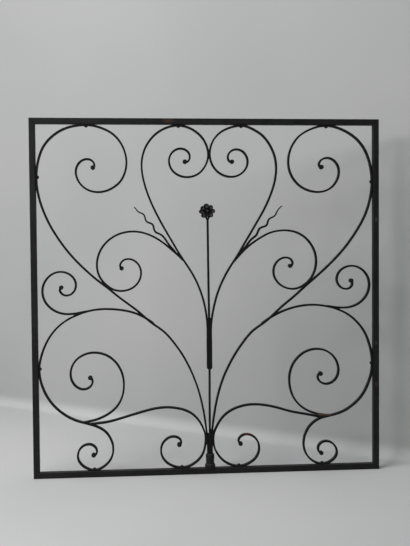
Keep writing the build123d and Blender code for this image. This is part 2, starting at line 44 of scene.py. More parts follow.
BAR_T, BAR_D = 5.5, 14.0
KNOB_R = 6.2
FRAME_W, FRAME_H, FRAME_BAR = 1052.0, 1073.0, 18.0
FERRULE_X = 3.2
FLOWER_X, FLOWER_Z = -0.4, 797.3
BOSS_SHIFT = 1.1
STEM_TOP = 770.0
STEM = [
    (3.0, 18.0), (3.0, 60.0), (3.0, 100.0), (3.2, 210.0), (3.7, 320.0), (3.8, 380.0),
    (3.7, 440.0), (2.9, 530.0), (1.9, 650.0), (1.4, 735.0), (1.2, 770.0),
]
LONG_LEFT = [
    (-340.1, 926.7), (-335.5, 932.0), (-335.5, 937.0), (-337.4, 941.7), (-341.3, 946.3), (-347.1, 950.0),
    (-354.4, 951.8), (-362.8, 951.2), (-372.1, 947.3), (-380.9, 939.7), (-387.1, 929.4), (-390.0, 916.2),
    (-388.4, 900.6), (-380.7, 883.6), (-366.8, 868.2), (-349.5, 858.4), (-327.8, 854.2), (-303.0, 857.3),
    (-276.4, 870.2), (-257.8, 887.5), (-246.4, 909.0), (-240.2, 939.7), (-243.9, 970.0), (-259.0, 1003.6),
    (-280.3, 1026.7), (-310.3, 1043.0), (-347.8, 1052.4), (-388.0, 1050.7), (-425.0, 1040.2), (-459.1, 1018.1),
    (-482.7, 991.3), (-498.0, 954.7), (-505.4, 913.5), (-504.7, 871.6), (-497.2, 830.5), (-483.8, 790.9),
    (-466.2, 753.0), (-444.7, 717.0), (-420.5, 682.8), (-393.4, 650.8), (-363.8, 621.2), (-332.5, 593.2),
    (-299.5, 567.3), (-267.3, 540.5), (-233.9, 515.2), (-201.2, 489.1), (-169.9, 461.3), (-135.9, 436.7),
    (-107.7, 405.8), (-83.2, 371.8), (-62.4, 335.3), (-45.2, 297.1), (-31.3, 257.6), (-20.9, 217.2),
    (-14.3, 184.4), (-11.0, 162.5), (-8.7, 145.0), (-7.3, 134.0), (-5.9, 122.5), (-4.5, 110.0),
    (-3.3, 96.0), (-2.8, 80.0), (-2.8, 60.0),
]
LONG_RIGHT = [
    (349.5, 928.4), (342.6, 933.1), (342.2, 938.1), (343.6, 942.9), (347.2, 948.1), (353.4, 952.7),
    (361.9, 955.6), (371.6, 955.7), (381.4, 952.6), (390.6, 945.9), (398.4, 935.1), (402.8, 921.2),
    (402.5, 905.4), (395.7, 886.0), (383.7, 870.0), (368.2, 859.4), (347.5, 853.5), (321.4, 854.8),
    (291.8, 865.6), (271.4, 882.0), (255.4, 906.5), (247.9, 935.9), (249.7, 964.9), (262.6, 998.2),
    (282.2, 1022.4), (311.8, 1040.7), (349.4, 1052.4), (380.4, 1052.1), (417.2, 1040.3), (452.7, 1018.4),
    (479.8, 987.4), (496.4, 949.4), (504.7, 908.3), (505.4, 866.4), (498.4, 825.1), (485.4, 785.4),
    (466.3, 748.3), (443.3, 713.1), (417.9, 679.8), (389.5, 648.9), (359.3, 619.8), (327.8, 592.0),
    (295.9, 564.8), (264.5, 537.0), (231.9, 510.6), (202.4, 484.1), (171.0, 457.3), (136.9, 433.2),
    (109.0, 401.9), (84.8, 367.6), (64.0, 331.2), (46.2, 293.3), (32.5, 253.7), (22.7, 212.8),
    (15.5, 172.2), (13.3, 157.0), (12.0, 146.0), (10.9, 136.0), (9.9, 124.0), (9.1, 110.0),
    (8.7, 92.0), (8.7, 76.0), (8.7, 60.0),
]
HEART_LEFT = [
    (-65.7, 944.4), (-57.9, 944.5), (-54.3, 947.8), (-51.9, 952.4), (-50.9, 958.4), (-51.8, 965.2),
    (-55.0, 971.8), (-60.6, 977.6), (-68.5, 981.8), (-78.1, 983.5), (-88.0, 982.1), (-97.5, 977.4),
    (-105.7, 969.5), (-111.2, 959.0), (-113.3, 946.8), (-111.3, 933.3), (-104.9, 920.4), (-94.2, 909.5),
    (-78.9, 901.6), (-59.8, 898.4), (-40.8, 901.2), (-24.2, 909.5), (-10.1, 923.7), (1.1, 945.4),
    (4.6, 966.4), (1.0, 988.5), (-12.1, 1014.5), (-32.9, 1034.6), (-60.1, 1048.3), (-84.0, 1052.4),
    (-113.1, 1048.0), (-142.3, 1034.3), (-170.0, 1008.4), (-188.5, 974.0), (-195.2, 935.7), (-191.1, 894.7),
    (-180.1, 854.8), (-165.1, 816.3), (-147.2, 778.9), (-127.5, 742.6), (-106.9, 706.7), (-86.2, 670.9),
    (-63.6, 636.2), (-42.1, 600.9), (-24.9, 563.3), (-12.5, 523.9), (-4.8, 483.3), (-1.6, 442.1),
    (-1.6, 400.8), (-1.6, 359.4), (-1.6, 318.0),
]
HEART_RIGHT = [
    (76.2, 944.4), (66.9, 947.5), (64.6, 951.8), (63.7, 957.2), (64.7, 963.7), (68.0, 970.4),
    (73.6, 976.2), (81.0, 980.1), (89.7, 981.5), (99.0, 980.1), (108.1, 975.5), (116.1, 967.5),
    (121.6, 956.7), (123.6, 944.5), (121.5, 931.9), (115.1, 919.5), (104.4, 908.9), (90.1, 901.7),
    (72.4, 899.2), (53.7, 902.4), (36.5, 911.4), (22.1, 926.3), (12.1, 946.7), (9.2, 968.1),
    (13.6, 993.8), (25.3, 1015.9), (44.8, 1034.2), (72.5, 1047.1), (98.6, 1052.4), (118.2, 1051.0),
    (140.1, 1042.3), (166.1, 1026.0), (188.6, 999.4), (205.5, 962.5), (210.5, 921.9), (204.8, 880.9),
    (191.8, 841.5), (174.5, 803.9), (154.1, 767.7), (132.9, 732.0), (111.5, 696.5), (90.3, 660.9),
    (67.5, 626.2), (47.2, 590.0), (30.9, 551.9), (19.5, 512.1), (11.9, 473.2), (8.9, 441.1),
    (9.0, 401.0), (9.0, 359.5), (9.0, 318.0),
]
SCROLL_S_LEFT = [
    (-347.8, 65.4), (-339.3, 70.3), (-337.9, 75.0), (-338.1, 80.3), (-340.2, 86.4), (-344.6, 92.0),
    (-350.9, 96.3), (-358.9, 98.6), (-367.8, 98.3), (-376.9, 94.9), (-385.1, 88.5), (-391.4, 79.1),
    (-394.5, 68.0), (-394.1, 56.5), (-389.8, 45.5), (-379.9, 34.3), (-363.9, 24.3), (-350.0, 20.2),
    (-338.1, 20.8), (-324.8, 26.0), (-308.6, 37.6), (-295.9, 53.5), (-289.7, 72.5), (-289.7, 92.9),
    (-297.5, 116.1), (-310.7, 134.8), (-329.7, 148.3), (-360.5, 160.0), (-399.9, 172.2), (-436.0, 192.5),
    (-466.4, 220.6), (-488.6, 255.0), (-502.1, 293.9), (-505.4, 333.6), (-498.0, 369.6), (-482.7, 407.8),
    (-459.6, 441.8), (-428.6, 469.2), (-391.7, 488.2), (-352.2, 500.7), (-311.0, 505.0), (-269.7, 502.6),
    (-229.0, 494.6), (-191.0, 478.1), (-158.2, 453.9),
]
SCROLL_S_RIGHT = [
    (346.1, 53.1), (340.0, 56.3), (337.4, 60.5), (336.0, 65.9), (336.4, 71.9), (338.8, 77.9),
    (343.2, 83.2), (349.7, 87.3), (357.9, 89.4), (367.3, 88.8), (377.0, 85.0), (385.9, 77.6),
    (392.0, 68.0), (394.6, 58.4), (394.0, 49.5), (390.3, 40.9), (382.1, 31.8), (370.0, 24.4),
    (354.1, 20.2), (340.4, 20.6), (326.1, 25.9), (310.0, 37.7), (297.8, 54.6), (291.7, 75.2),
    (292.6, 99.3), (301.3, 124.2), (316.5, 144.0), (337.9, 158.6), (368.1, 167.5), (407.4, 177.8),
    (443.0, 198.5), (472.4, 227.2), (492.1, 263.1), (504.0, 302.4), (505.4, 343.6), (497.7, 384.1),
    (482.7, 422.2), (458.5, 455.3), (426.6, 481.2), (389.0, 498.0), (348.9, 507.4), (307.7, 509.4),
    (266.9, 503.6), (227.6, 491.1), (190.7, 472.8), (157.1, 449.1),
]
SIDE_LEFT = [
    (-258.0, 626.3), (-261.8, 631.0), (-262.3, 635.9), (-260.9, 640.8), (-257.4, 646.1), (-251.8, 650.7),
    (-244.0, 653.6), (-234.4, 654.0), (-223.8, 651.0), (-213.6, 644.2), (-205.6, 634.0), (-200.9, 621.0),
    (-200.5, 606.2), (-205.2, 590.7), (-215.0, 576.4), (-229.0, 565.9), (-247.5, 559.7), (-269.5, 559.4),
    (-286.7, 564.7), (-303.8, 576.9), (-320.5, 596.4), (-328.9, 616.6), (-330.9, 643.9), (-324.1, 672.2),
    (-306.7, 700.0), (-282.6, 720.2), (-248.9, 733.6), (-212.2, 735.8), (-173.1, 725.6), (-137.0, 704.9),
    (-105.8, 679.2), (-83.6, 658.9), (-68.7, 642.9),
]
SIDE_RIGHT = [
    (251.9, 629.1), (258.8, 634.8), (259.1, 639.6), (257.5, 644.2), (254.4, 648.5), (249.3, 652.0),
    (242.2, 654.3), (233.3, 654.3), (223.3, 651.0), (213.7, 644.1), (205.9, 633.6), (201.4, 620.3),
    (201.2, 605.9), (205.6, 591.6), (215.4, 577.7), (230.2, 566.5), (248.5, 560.0), (266.2, 559.5),
    (284.5, 564.9), (305.3, 579.3), (321.4, 599.6), (330.0, 623.7), (331.5, 654.1), (324.5, 679.7),
    (307.4, 706.1), (285.1, 724.3), (257.9, 734.8), (222.9, 736.7), (187.5, 728.8), (162.2, 715.7),
    (131.5, 695.1), (101.2, 667.6), (74.9, 636.4),
]
SMALL_LEFT = [
    (-437.5, 570.9), (-441.8, 562.3), (-440.1, 557.6), (-436.5, 552.9), (-431.3, 549.1), (-424.8, 547.1),
    (-417.7, 547.3), (-410.2, 549.9), (-403.0, 555.4), (-397.4, 563.5), (-394.4, 573.2), (-394.7, 583.9),
    (-398.5, 594.8), (-406.2, 604.8), (-418.0, 612.8), (-432.8, 617.2), (-447.9, 616.7), (-462.8, 611.4),
    (-477.0, 600.3), (-487.3, 585.0), (-492.5, 566.8), (-491.8, 547.1), (-485.1, 528.7), (-471.7, 512.0),
    (-451.6, 498.6), (-427.8, 492.0), (-394.9, 493.2), (-354.4, 500.7),
]
SMALL_RIGHT = [
    (440.5, 582.3), (443.7, 576.3), (443.7, 571.4), (442.1, 566.7), (438.7, 562.4), (433.7, 559.0),
    (427.2, 557.2), (419.7, 557.4), (411.7, 560.3), (404.2, 566.2), (398.7, 574.2), (396.0, 583.5),
    (396.4, 593.9), (400.4, 604.7), (408.2, 614.6), (420.2, 622.6), (435.9, 627.1), (451.7, 626.5),
    (466.8, 620.9), (481.5, 609.2), (491.7, 594.1), (496.5, 576.7), (495.6, 556.9), (488.4, 537.8),
    (474.7, 520.7), (453.8, 507.0), (429.5, 500.4), (395.5, 501.1), (354.6, 507.1),
]
INNER_LEFT = [
    (-355.2, 299.1), (-350.6, 295.5), (-348.7, 291.1), (-348.4, 286.1), (-350.0, 280.2), (-353.9, 274.2),
    (-360.0, 269.1), (-368.0, 265.9), (-377.4, 265.2), (-387.1, 267.7), (-396.9, 273.8), (-405.9, 284.4),
    (-411.8, 298.4), (-413.1, 314.7), (-408.7, 333.5), (-399.1, 349.9), (-384.1, 362.9), (-362.2, 372.4),
    (-339.1, 374.6), (-312.3, 368.9), (-291.1, 356.6), (-271.4, 334.6), (-259.3, 307.9), (-255.1, 272.7),
    (-260.9, 239.7), (-274.7, 213.5), (-292.9, 195.8), (-319.8, 180.0), (-343.3, 171.5), (-360.6, 167.6),
    (-373.1, 165.8), (-382.9, 166.8),
]
INNER_RIGHT = [
    (344.6, 298.0), (337.9, 294.7), (336.2, 290.1), (336.3, 285.1), (338.3, 279.5), (342.6, 273.9),
    (349.3, 269.3), (358.1, 266.6), (368.2, 266.9), (378.8, 270.7), (388.7, 278.3), (396.0, 289.1),
    (399.9, 302.8), (399.1, 320.8), (391.7, 340.9), (379.4, 356.4), (361.4, 368.3), (341.3, 373.8),
    (316.2, 372.5), (292.6, 363.6), (272.2, 346.9), (256.0, 322.1), (248.1, 291.8), (250.4, 255.5),
    (262.1, 224.3), (279.5, 202.8), (309.5, 182.9), (340.5, 173.2), (363.3, 169.8), (380.4, 170.3),
]
BASE_LEFT = [
    (-89.9, 90.4), (-84.2, 97.9), (-85.1, 102.7), (-87.9, 107.2), (-92.8, 111.5), (-100.0, 114.6),
    (-109.2, 115.5), (-119.8, 113.2), (-130.4, 107.0), (-138.8, 97.6), (-144.0, 85.7), (-145.4, 71.7),
    (-141.9, 56.3), (-133.3, 42.2), (-119.4, 31.0), (-99.0, 22.3), (-78.9, 20.2), (-60.3, 24.3),
    (-40.2, 35.8), (-22.9, 53.6), (-13.1, 77.4), (-10.3, 97.0), (-9.9, 108.0), (-10.9, 118.5),
    (-13.8, 130.0), (-21.5, 148.5), (-37.6, 172.0), (-57.3, 188.3), (-85.1, 199.2), (-124.5, 204.9),
    (-165.6, 201.6), (-205.7, 191.8), (-245.4, 180.7), (-284.3, 169.7), (-314.3, 163.8), (-336.0, 161.5),
    (-351.3, 160.2), (-362.8, 161.1),
]
BASE_RIGHT = [
    (96.7, 88.6), (91.1, 94.6), (90.7, 99.5), (92.1, 104.2), (95.4, 109.1), (100.9, 113.5),
    (108.7, 116.4), (118.3, 116.9), (129.0, 114.1), (139.4, 107.3), (147.6, 97.4), (152.4, 85.1),
    (153.3, 70.2), (149.3, 54.7), (140.6, 41.4), (125.0, 29.5), (105.6, 21.7), (86.1, 20.2),
    (65.5, 25.3), (45.6, 36.8), (28.0, 56.5), (16.4, 81.1), (14.0, 97.0), (13.7, 108.0),
    (15.3, 121.0), (24.6, 144.4), (43.0, 172.0), (65.9, 190.3), (98.4, 203.2), (135.8, 208.2),
    (172.7, 204.9), (212.6, 195.8), (251.8, 184.0), (288.1, 176.6), (314.2, 171.4), (332.7, 167.4),
    (346.0, 165.0), (356.4, 165.6),
]
TENDRIL_LEFT = [
    (-219.3, 809.6), (-215.0, 805.5), (-210.1, 799.0), (-204.8, 794.4), (-197.7, 791.2), (-192.6, 788.5),
    (-189.5, 785.5), (-187.6, 781.5), (-186.3, 775.5), (-184.6, 770.0), (-182.3, 766.5), (-179.0, 763.9),
    (-173.6, 761.9), (-168.1, 759.6), (-164.6, 757.1), (-162.5, 754.0), (-161.1, 749.1), (-159.8, 742.5),
    (-157.8, 737.6), (-154.9, 734.2), (-149.9, 731.2), (-142.4, 727.8), (-134.3, 722.0), (-126.6, 712.4),
    (-119.1, 701.0), (-110.8, 690.1), (-101.6, 679.9), (-92.2, 669.9),
]
TENDRIL_RIGHT = [
    (228.5, 811.4), (218.4, 802.4), (212.2, 793.1), (208.4, 785.3), (204.5, 780.5), (199.1, 777.3),
    (192.5, 774.4), (188.3, 771.3), (185.7, 767.4), (183.9, 761.3), (182.1, 755.9), (179.6, 752.5),
    (175.9, 750.0), (170.1, 748.1), (163.5, 746.0), (159.3, 743.1), (156.0, 738.6), (153.1, 731.5),
    (148.9, 723.5), (142.3, 717.3), (132.5, 709.6), (123.8, 698.8), (115.6, 687.7), (106.5, 677.2),
    (98.0, 666.3),
]
RIVETS_TOP = [-358.7, -84.7, 104.2, 364.1]
RIVETS_BOTTOM = [-345.7, -82.5, 91.2, 348.2]
RIVETS_LEFT = [898.7, 328.2]
RIVETS_RIGHT = [884.0, 328.0]
SKIN = 0.25   # the frame's faces lie this far inside the overall size, and rivet tails reach it


# ---- small tools ---------------------------------------------------------------------------
def cubic(points, step=0.25):
    """Smooth curve through the points, as (x, z) samples at an even spacing."""
    p = np.array(points, float)
    t = np.r_[0, np.cumsum(np.hypot(*np.diff(p, axis=0).T))]
    n = len(p)

    def end_slope(tt, pp):
        x0 = tt[0]
        out = np.zeros(2)
        for i in range(len(tt)):
            total = 0.0
            for j in range(len(tt)):
                if j == i:
                    continue
                term = 1.0 / (tt[i] - tt[j])
                for k in range(len(tt)):
                    if k not in (i, j):
                        term *= (x0 - tt[k]) / (tt[i] - tt[k])
                total += term
            out += total * pp[i]
        return out

    m = min(4, n)
    d0 = end_slope(t[:m], p[:m])
    d1 = end_slope(t[::-1][:m], p[::-1][:m])
    h = np.diff(t)
    a = np.zeros((n, n))
    b = np.zeros((n, 2))
    a[0, 0] = a[-1, -1] = 1
    b[0], b[-1] = d0, d1
    for i in range(1, n - 1):
        a[i, i - 1] = h[i]
        a[i, i] = 2 * (h[i] + h[i - 1])
        a[i, i + 1] = h[i - 1]
        b[i] = 3 * (h[i] * (p[i] - p[i - 1]) / h[i - 1] + h[i - 1] * (p[i + 1] - p[i]) / h[i])
    slope = np.linalg.solve(a, b)
    fine = []
    for i in range(n - 1):
        u = np.linspace(0, 1, max(8, int(h[i] / 0.12)), endpoint=False)[:, None]
        fine.append(
            p[i] * (2 * u**3 - 3 * u**2 + 1) + p[i + 1] * (3 * u**2 - 2 * u**3)
            + slope[i] * h[i] * (u**3 - 2 * u**2 + u) + slope[i + 1] * h[i] * (u**3 - u**2))
    fine = np.vstack(fine + [p[-1:]])
    s = np.r_[0, np.cumsum(np.hypot(*np.diff(fine, axis=0).T))]
    k = max(8, int(s[-1] / step))
    even = np.linspace(0, s[-1], k + 1)
    return np.c_[np.interp(even, s, fine[:, 0]), np.interp(even, s, fine[:, 1])], even


def directions(path, s):
    t = np.gradient(path, s, axis=0)
    return t / np.linalg.norm(t, axis=1)[:, None]


def wander(s, seed, wave):
    """Smooth random run along s, about -1 to 1, the same every time."""
    rng = np.random.default_rng(seed)
    lo, hi = s.min(), s.max()
    k = int((hi - lo) / wave) + 6
    v = rng.uniform(-1, 1, k + 4)
    x = (s - lo) / wave + rng.uniform(0, 1)
    i = np.floor(x).astype(int)
    f = x - i
    p0, p1, p2, p3 = v[i], v[i + 1], v[i + 2], v[i + 3]
    return ((-p0 + 3 * p1 - 3 * p2 + p3) * f**3 + (2 * p0 - 5 * p1 + 4 * p2 - p3) * f**2
            + (p2 - p0) * f + 2 * p1) / 2


def smooth01(x, a, b):
    u = np.clip((x - a) / (b - a), 0, 1)
    return u * u * (3 - 2 * u)


class Solid:
    """Collects closed shells, in millimetres, with two marks on every point: how much of an
    edge it is on, and how much pale dusting and painted highlight lies in the hollow there."""

    def __init__(self):
        self.v, self.f, self.e, self.p, self.n = [], [], [], [], 0

    def add(self, verts, faces, edge, pale=None):
        self.v.append(np.asarray(verts, float))
        self.e.append(np.asarray(edge, float))
        self.p.append(np.zeros(len(edge)) if pale is None else np.asarray(pale, float))
        self.f += [tuple(i + self.n for i in face) for face in faces]
        self.n += len(verts)

    def rings(self, rings, edge, close_ends=True, pale=None):
        """rings: (m, k, 3). Adjacent rings are joined, and each end gets a cap with a middle point."""
        m, k, _ = rings.shape
        verts = rings.reshape(-1, 3)
        faces = []
        for i in range(m - 1):
            a, b = i * k, (i + 1) * k
            for j in range(k):
                jj = (j + 1) % k
                faces.append((a + j, a + jj, b + jj, b + j))
        edges = list(edge.reshape(-1))
        dust_and_highlight_marks = [0.0] * len(edges) if pale is None else list(pale.reshape(-1))
        if close_ends:
            dust_and_highlight_marks += [dust_and_highlight_marks[0], dust_and_highlight_marks[-1]]
            extra = [rings[0].mean(0), rings[-1].mean(0)]
            verts = np.vstack([verts, extra])
            edges += [0.3, 0.3]
            c0, c1 = m * k, m * k + 1
            last = (m - 1) * k
            for j in range(k):
                jj = (j + 1) % k
                faces.append((c0, jj, j))
                faces.append((c1, last + j, last + jj))
        self.add(verts, faces, edges, dust_and_highlight_marks)

    def build(self, name, material, node=None, flip=False):
        verts = np.vstack(self.v) / 1000.0
        mesh = bpy.data.meshes.new(name)
        mesh.from_pydata(verts.tolist(), [], self.f)
        mark = mesh.attributes.new("edge", "FLOAT", "POINT")
        mark.data.foreach_set("value", np.concatenate(self.e).astype(np.float32))
        mark = mesh.attributes.new("hollow", "FLOAT", "POINT")
        mark.data.foreach_set("value", np.concatenate(self.p).astype(np.float32))
        mesh.polygons.foreach_set("use_smooth", [True] * len(mesh.polygons))
        mesh.update()
        # faces outward: the signed volume tells
        tri = np.zeros(len(mesh.polygons) * 3)
        mesh.calc_loop_triangles()
        idx = np.zeros(len(mesh.loop_triangles) * 3, np.int32)
        mesh.loop_triangles.foreach_get("vertices", idx)
        a, b, c = (verts[idx.reshape(-1, 3)[:, i]] for i in range(3))
        if np.einsum("ij,ij->i", a, np.cross(b, c)).sum() < 0:
            mesh.flip_normals()
        mesh.materials.append(material)
        o = bpy.data.objects.new(name, mesh)
        bpy.context.scene.collection.objects.link(o)
        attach(o, "root")
        if node:
            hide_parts(*([node] if isinstance(node, str) else node))
        return o


CORNER = np.radians([0, 30, 60, 90])


def section(hl, hr, hf, hb, rc, wide=False):
    """Rounded oblong for every ring: reach to the left and right in the plane, to the front and
    back, and corner radius. Gives in-plane offset, depth, outward direction and edge mark."""
    m = len(hl)
    rc = np.minimum(rc, 0.92 * np.minimum((hl + hr) / 2, (hf + hb) / 2))
    off, dep, on, oy, mark = [], [], [], [], []

    def corner(sn, sy, angles):
        cn = sn * ((hl if sn > 0 else hr) - rc)
        cy = sy * ((hb if sy > 0 else hf) - rc)
        for a in angles:
            c, s_ = math.cos(a), math.sin(a)
            off.append(cn + sn * rc * c)
            dep.append(cy + sy * rc * s_)
            on.append(np.full(m, sn * c))
            oy.append(np.full(m, sy * s_))
            mark.append(1.0 if 0.2 < a < 1.4 else 0.55)

    def flat(sn, shares):
        for q in shares:
            off.append(sn * (hl if sn > 0 else hr))
            dep.append(q * (hf + hb) / 2 + (hb - hf) / 2)
            on.append(np.full(m, float(sn)))
            oy.append(np.zeros(m))
            mark.append(0.0)

    def face(sy, shares):
        for q in shares:
            off.append(q * (hl + hr) / 2 + (hl - hr) / 2)
            dep.append(sy * (hb if sy > 0 else hf))
            on.append(np.zeros(m))
            oy.append(np.full(m, float(sy)))
            mark.append(0.0)

    third = (0.55, 0.0, -0.55) if wide else (0.36, -0.36)
    corner(+1, +1, CORNER)
    if wide:
        face(+1, third)
    corner(-1, +1, CORNER[::-1])
    flat(-1, third)
    corner(-1, -1, CORNER)
    if wide:
        face(-1, third[::-1])
    corner(+1, -1, CORNER[::-1])
    flat(+1, third[::-1])
    stack = lambda x: np.stack(x, 1)
    return stack(off), stack(dep), stack(on), stack(oy), np.array(mark)


def pick(s, path, lo=0.7, hi=2.3, k=0.085):
    """Ring stations along a path: closer together where it curls."""
    t = directions(path, s)
    turn = np.linalg.norm(np.gradient(t, s, axis=0), axis=1)
    gap = np.clip(k / np.maximum(turn, 1e-6), lo, hi)
    stations, at = [0], 0.0
    while True:
        i = stations[-1]
        nxt = s[i] + gap[i]
        if nxt >= s[-1] - 0.4 * gap[i]:
            break
        j = int(np.searchsorted(s, nxt))
        stations.append(max(j, i + 1))
    stations.append(len(s) - 1)
    return np.array(stations)


def sweep(solid, path, s, t, hl, hr, hf, hb, rc, seed, rough=1.0):
    """One bar: rings of the section across the path."""
    off, dep, on, oy, mark = section(hl, hr, hf, hb, rc)
    n = np.c_[-t[:, 1], t[:, 0]]
    x = path[:, 0:1] + n[:, 0:1] * off
    z = path[:, 1:2] + n[:, 1:2] * off
    y = dep.copy()
    # small hammer flats, point by point
    k = off.shape[1]
    amp = 0.055 * rough
    for j in range(k):
        w = wander(s, seed * 131 + j // 2, 6.5) * amp
        x[:, j] += n[:, 0] * on[:, j] * w
        z[:, j] += n[:, 1] * on[:, j] * w
        y[:, j] += oy[:, j] * w
    rings = np.stack([x, y, z], 2)
    solid.rings(rings, np.repeat(mark[None], len(rings), 0))


def bar(points, seed, knob=True, bury=True, end=None, tip=None, bury_len=34.0, swell=0.14):
    """Stations and reaches of one scroll bar, from inside its snub end (or from its drawn tip)
    to its weld or foot. end: 'left' or 'right', the side of the path whose corner is bevelled off at the far end."""
    fine, s_all = cubic(points)
    ids = pick(s_all, fine)
    t_all = directions(fine, s_all)
    path, s, t = fine[ids], s_all[ids], t_all[ids]
    total = s_all[-1]
    m = len(s)
    base = np.full(m, BAR_T / 2 + swell)
    depth = np.full(m, BAR_D / 2)
    rc = np.full(m, 0.95)
    if tip is not None:                      # drawn out to a thin tip
        tip_t, tip_d = tip
        share = np.clip(s / total, 0, 1)
        base = tip_t / 2 + (BAR_T + 2 * swell - tip_t) / 2 * np.minimum(1, share * 2.2)
        depth = tip_d / 2 + (BAR_D - tip_d) / 2 * np.minimum(1, share / 0.8)
        rc = 0.42 * base + 0.1
        near = s < 2.6
        base = np.where(near, base * np.sqrt(np.clip(1 - ((2.6 - s) / 2.9) ** 2, 0.05, 1)), base)
        depth = np.where(near, depth * np.sqrt(np.clip(1 - ((2.6 - s) / 3.1) ** 2, 0.1, 1)), depth)
    # forging: thickness and depth wander a little along the bar
    live = smooth01(s, 2, 14) if knob else np.ones(m)
    hl = base * (1 + 0.030 * live * wander(s, seed, 11) + 0.018 * wander(s, seed + 1, 34))
    hr = base * (1 + 0.030 * live * wander(s, seed + 2, 10) + 0.018 * wander(s, seed + 3, 31))
    hf = depth * (1 - 0.012 + 0.012 * wander(s, seed + 4, 17))
    hb = depth * (1 - 0.012 + 0.012 * wander(s, seed + 5, 19))
    rc = rc * (1 + 0.22 * wander(s, seed + 6, 9))
    if bury:
        # the last stretch is drawn down and laid into the bar that it is welded to
        fade = smooth01(s, total - bury_len, total)
        hf = hf - 0.34 * fade
        hb = hb - 0.34 * fade
        thin = 1 - 0.55 * smooth01(s, total - 14, total)
        hl, hr = hl * thin, hr * thin
    if end:
        cut_off = smooth01(s, total - 4.2, total + 0.6)
        if end == "left":
            hl = hl - 4.2 * cut_off * 0.9
            hl = np.maximum(hl, -hr + 1.1)
        else:
            hr = hr - 4.2 * cut_off * 0.9
            hr = np.maximum(hr, -hl + 1.1)
    return path, s, t, hl, hr, hf, hb, rc


def lathe(solid, profile, centre, axis, seed, seg=48, lumps=0.0, wave=3.0, edge=None, pale=None):
    """Closed turned shape. profile: (radius, height along axis) from one pole to the other."""
    profile = np.array(profile, float)
    axis = Vector(axis).normalized()
    side = axis.orthogonal().normalized()
    if abs(axis.y) < 0.9:
        side = Vector((0, 1, 0)).cross(axis).normalized()
    other = axis.cross(side)
    a = np.linspace(0, 2 * math.pi, seg, endpoint=False)
    rings = []
    for r, h in profile:
        ring = []
        for q in a:
            radial = side * math.cos(q) + other * math.sin(q)
            rr = r
            if lumps and r > 0.3:
                p = radial * r + axis * h + Vector((seed * 7.3, seed * 3.1, seed))
                rr = r + lumps * (noise.noise(p / wave) + 0.5 * noise.noise(p / (wave * 0.45)))
            pt = Vector(centre) + radial * rr + axis * h
            ring.append((pt.x, pt.y, pt.z))
        rings.append(ring)
    rings = np.array(rings)
    if edge is None:
        edge = np.zeros(len(profile))
    if pale is None:
        pale = np.zeros(len(profile))
    solid.rings(rings, np.repeat(np.asarray(edge, float)[:, None], seg, 1),
                pale=np.repeat(np.asarray(pale, float)[:, None], seg, 1))


# the hollow column paints the dished middle pale: dust, and painted highlight
SNUB = [  # radius, half depth, edge, hollow: half of a snub end, from the dished face to the waist
    (0.0, 6.15, 0.1, 1.0), (0.7, 6.17, 0.1, 1.0), (1.4, 6.32, 0.2, 0.8), (2.1, 6.62, 0.5, 0.35),
    (2.9, 6.82, 0.5, 0.0), (3.9, 6.84, 0.1, 0.0), (4.8, 6.76, 0.4, 0.0), (5.5, 6.52, 0.9, 0.0),
    (5.95, 6.05, 1.0, 0.0), (6.15, 5.3, 0.7, 0.0), (6.2, 4.0, 0.2, 0.0), (6.22, 2.0, 0.0, 0.0),
    (6.22, 0.0, 0.0, 0.0)]


def snub(solid, at, seed):
    """The bar's end, rolled up tight and hammered into a solid round."""
    size = 1.06 * KNOB_R / 6.2 * (1 + 0.035 * math.sin(seed * 2.3))
    half = [(r * size, h, e, d) for r, h, e, d in SNUB]
    whole = [(r, -h, e, d) for r, h, e, d in half] + [(r, h, e, d) for r, h, e, d in half[-2::-1]]
    lathe(solid, [(r, h) for r, h, e, d in whole], (at[0], 0.0, at[1]), (0, 1, 0), seed, 40,
          0.22, 4.2, [q[2] for q in whole], [q[3] for q in whole])


def rounded(profile, steps=3, share=0.28, cap=1.2):
    """Softens the corners of a turned outline."""
    p = [np.array(q, float) for q in profile]
    out = [tuple(p[0])]
    for a, b, c in zip(p, p[1:], p[2:]):
        la, lc = np.linalg.norm(a - b), np.linalg.norm(c - b)
        d = min(share * la, share * lc, cap)
        u, w = b + (a - b) / la * d, b + (c - b) / lc * d
        for i in range(steps + 1):
            k = i / steps
            out.append(tuple((1 - k) ** 2 * u + 2 * k * (1 - k) * b + k * k * w))
    out.append(tuple(p[-1]))
    return out


# ---- finishes ------------------------------------------------------------------------------
def shader(name):
    m = bpy.data.materials.new(name)
    m.use_nodes = True
    nt = m.node_tree
    nt.nodes.clear()
    out = nt.nodes.new("ShaderNodeOutputMaterial")
    b = nt.nodes.new("ShaderNodeBsdfPrincipled")
    nt.links.new(b.outputs[0], out.inputs[0])
    return m, nt, b


def link(nt, a, b):
    nt.links.new(a, b)


def tex(nt, coord, scale, detail=3.0, rough=0.5, distort=0.0, shift=0.0):
    n = nt.nodes.new("ShaderNodeTexNoise")
    n.noise_dimensions = "3D"
    n.inputs["Scale"].default_value = scale
    n.inputs["Detail"].default_value = detail
    n.inputs["Roughness"].default_value = rough
    n.inputs["Distortion"].default_value = distort
    if shift:
        mp = nt.nodes.new("ShaderNodeVectorMath")
        mp.operation = "ADD"
        mp.inputs[1].default_value = (shift, shift * 0.37, -shift * 0.61)
        link(nt, coord, mp.inputs[0])
        coord = mp.outputs[0]
    link(nt, coord, n.inputs["Vector"])
    return n.outputs["Fac"]


def remap(nt, value, a, b, lo=0.0, hi=1.0, smooth=True):
    n = nt.nodes.new("ShaderNodeMapRange")
    n.interpolation_type = "SMOOTHSTEP" if smooth else "LINEAR"
    n.inputs["From Min"].default_value = a
    n.inputs["From Max"].default_value = b
    n.inputs["To Min"].default_value = lo
    n.inputs["To Max"].default_value = hi
    link(nt, value, n.inputs["Value"])
    return n.outputs["Result"]


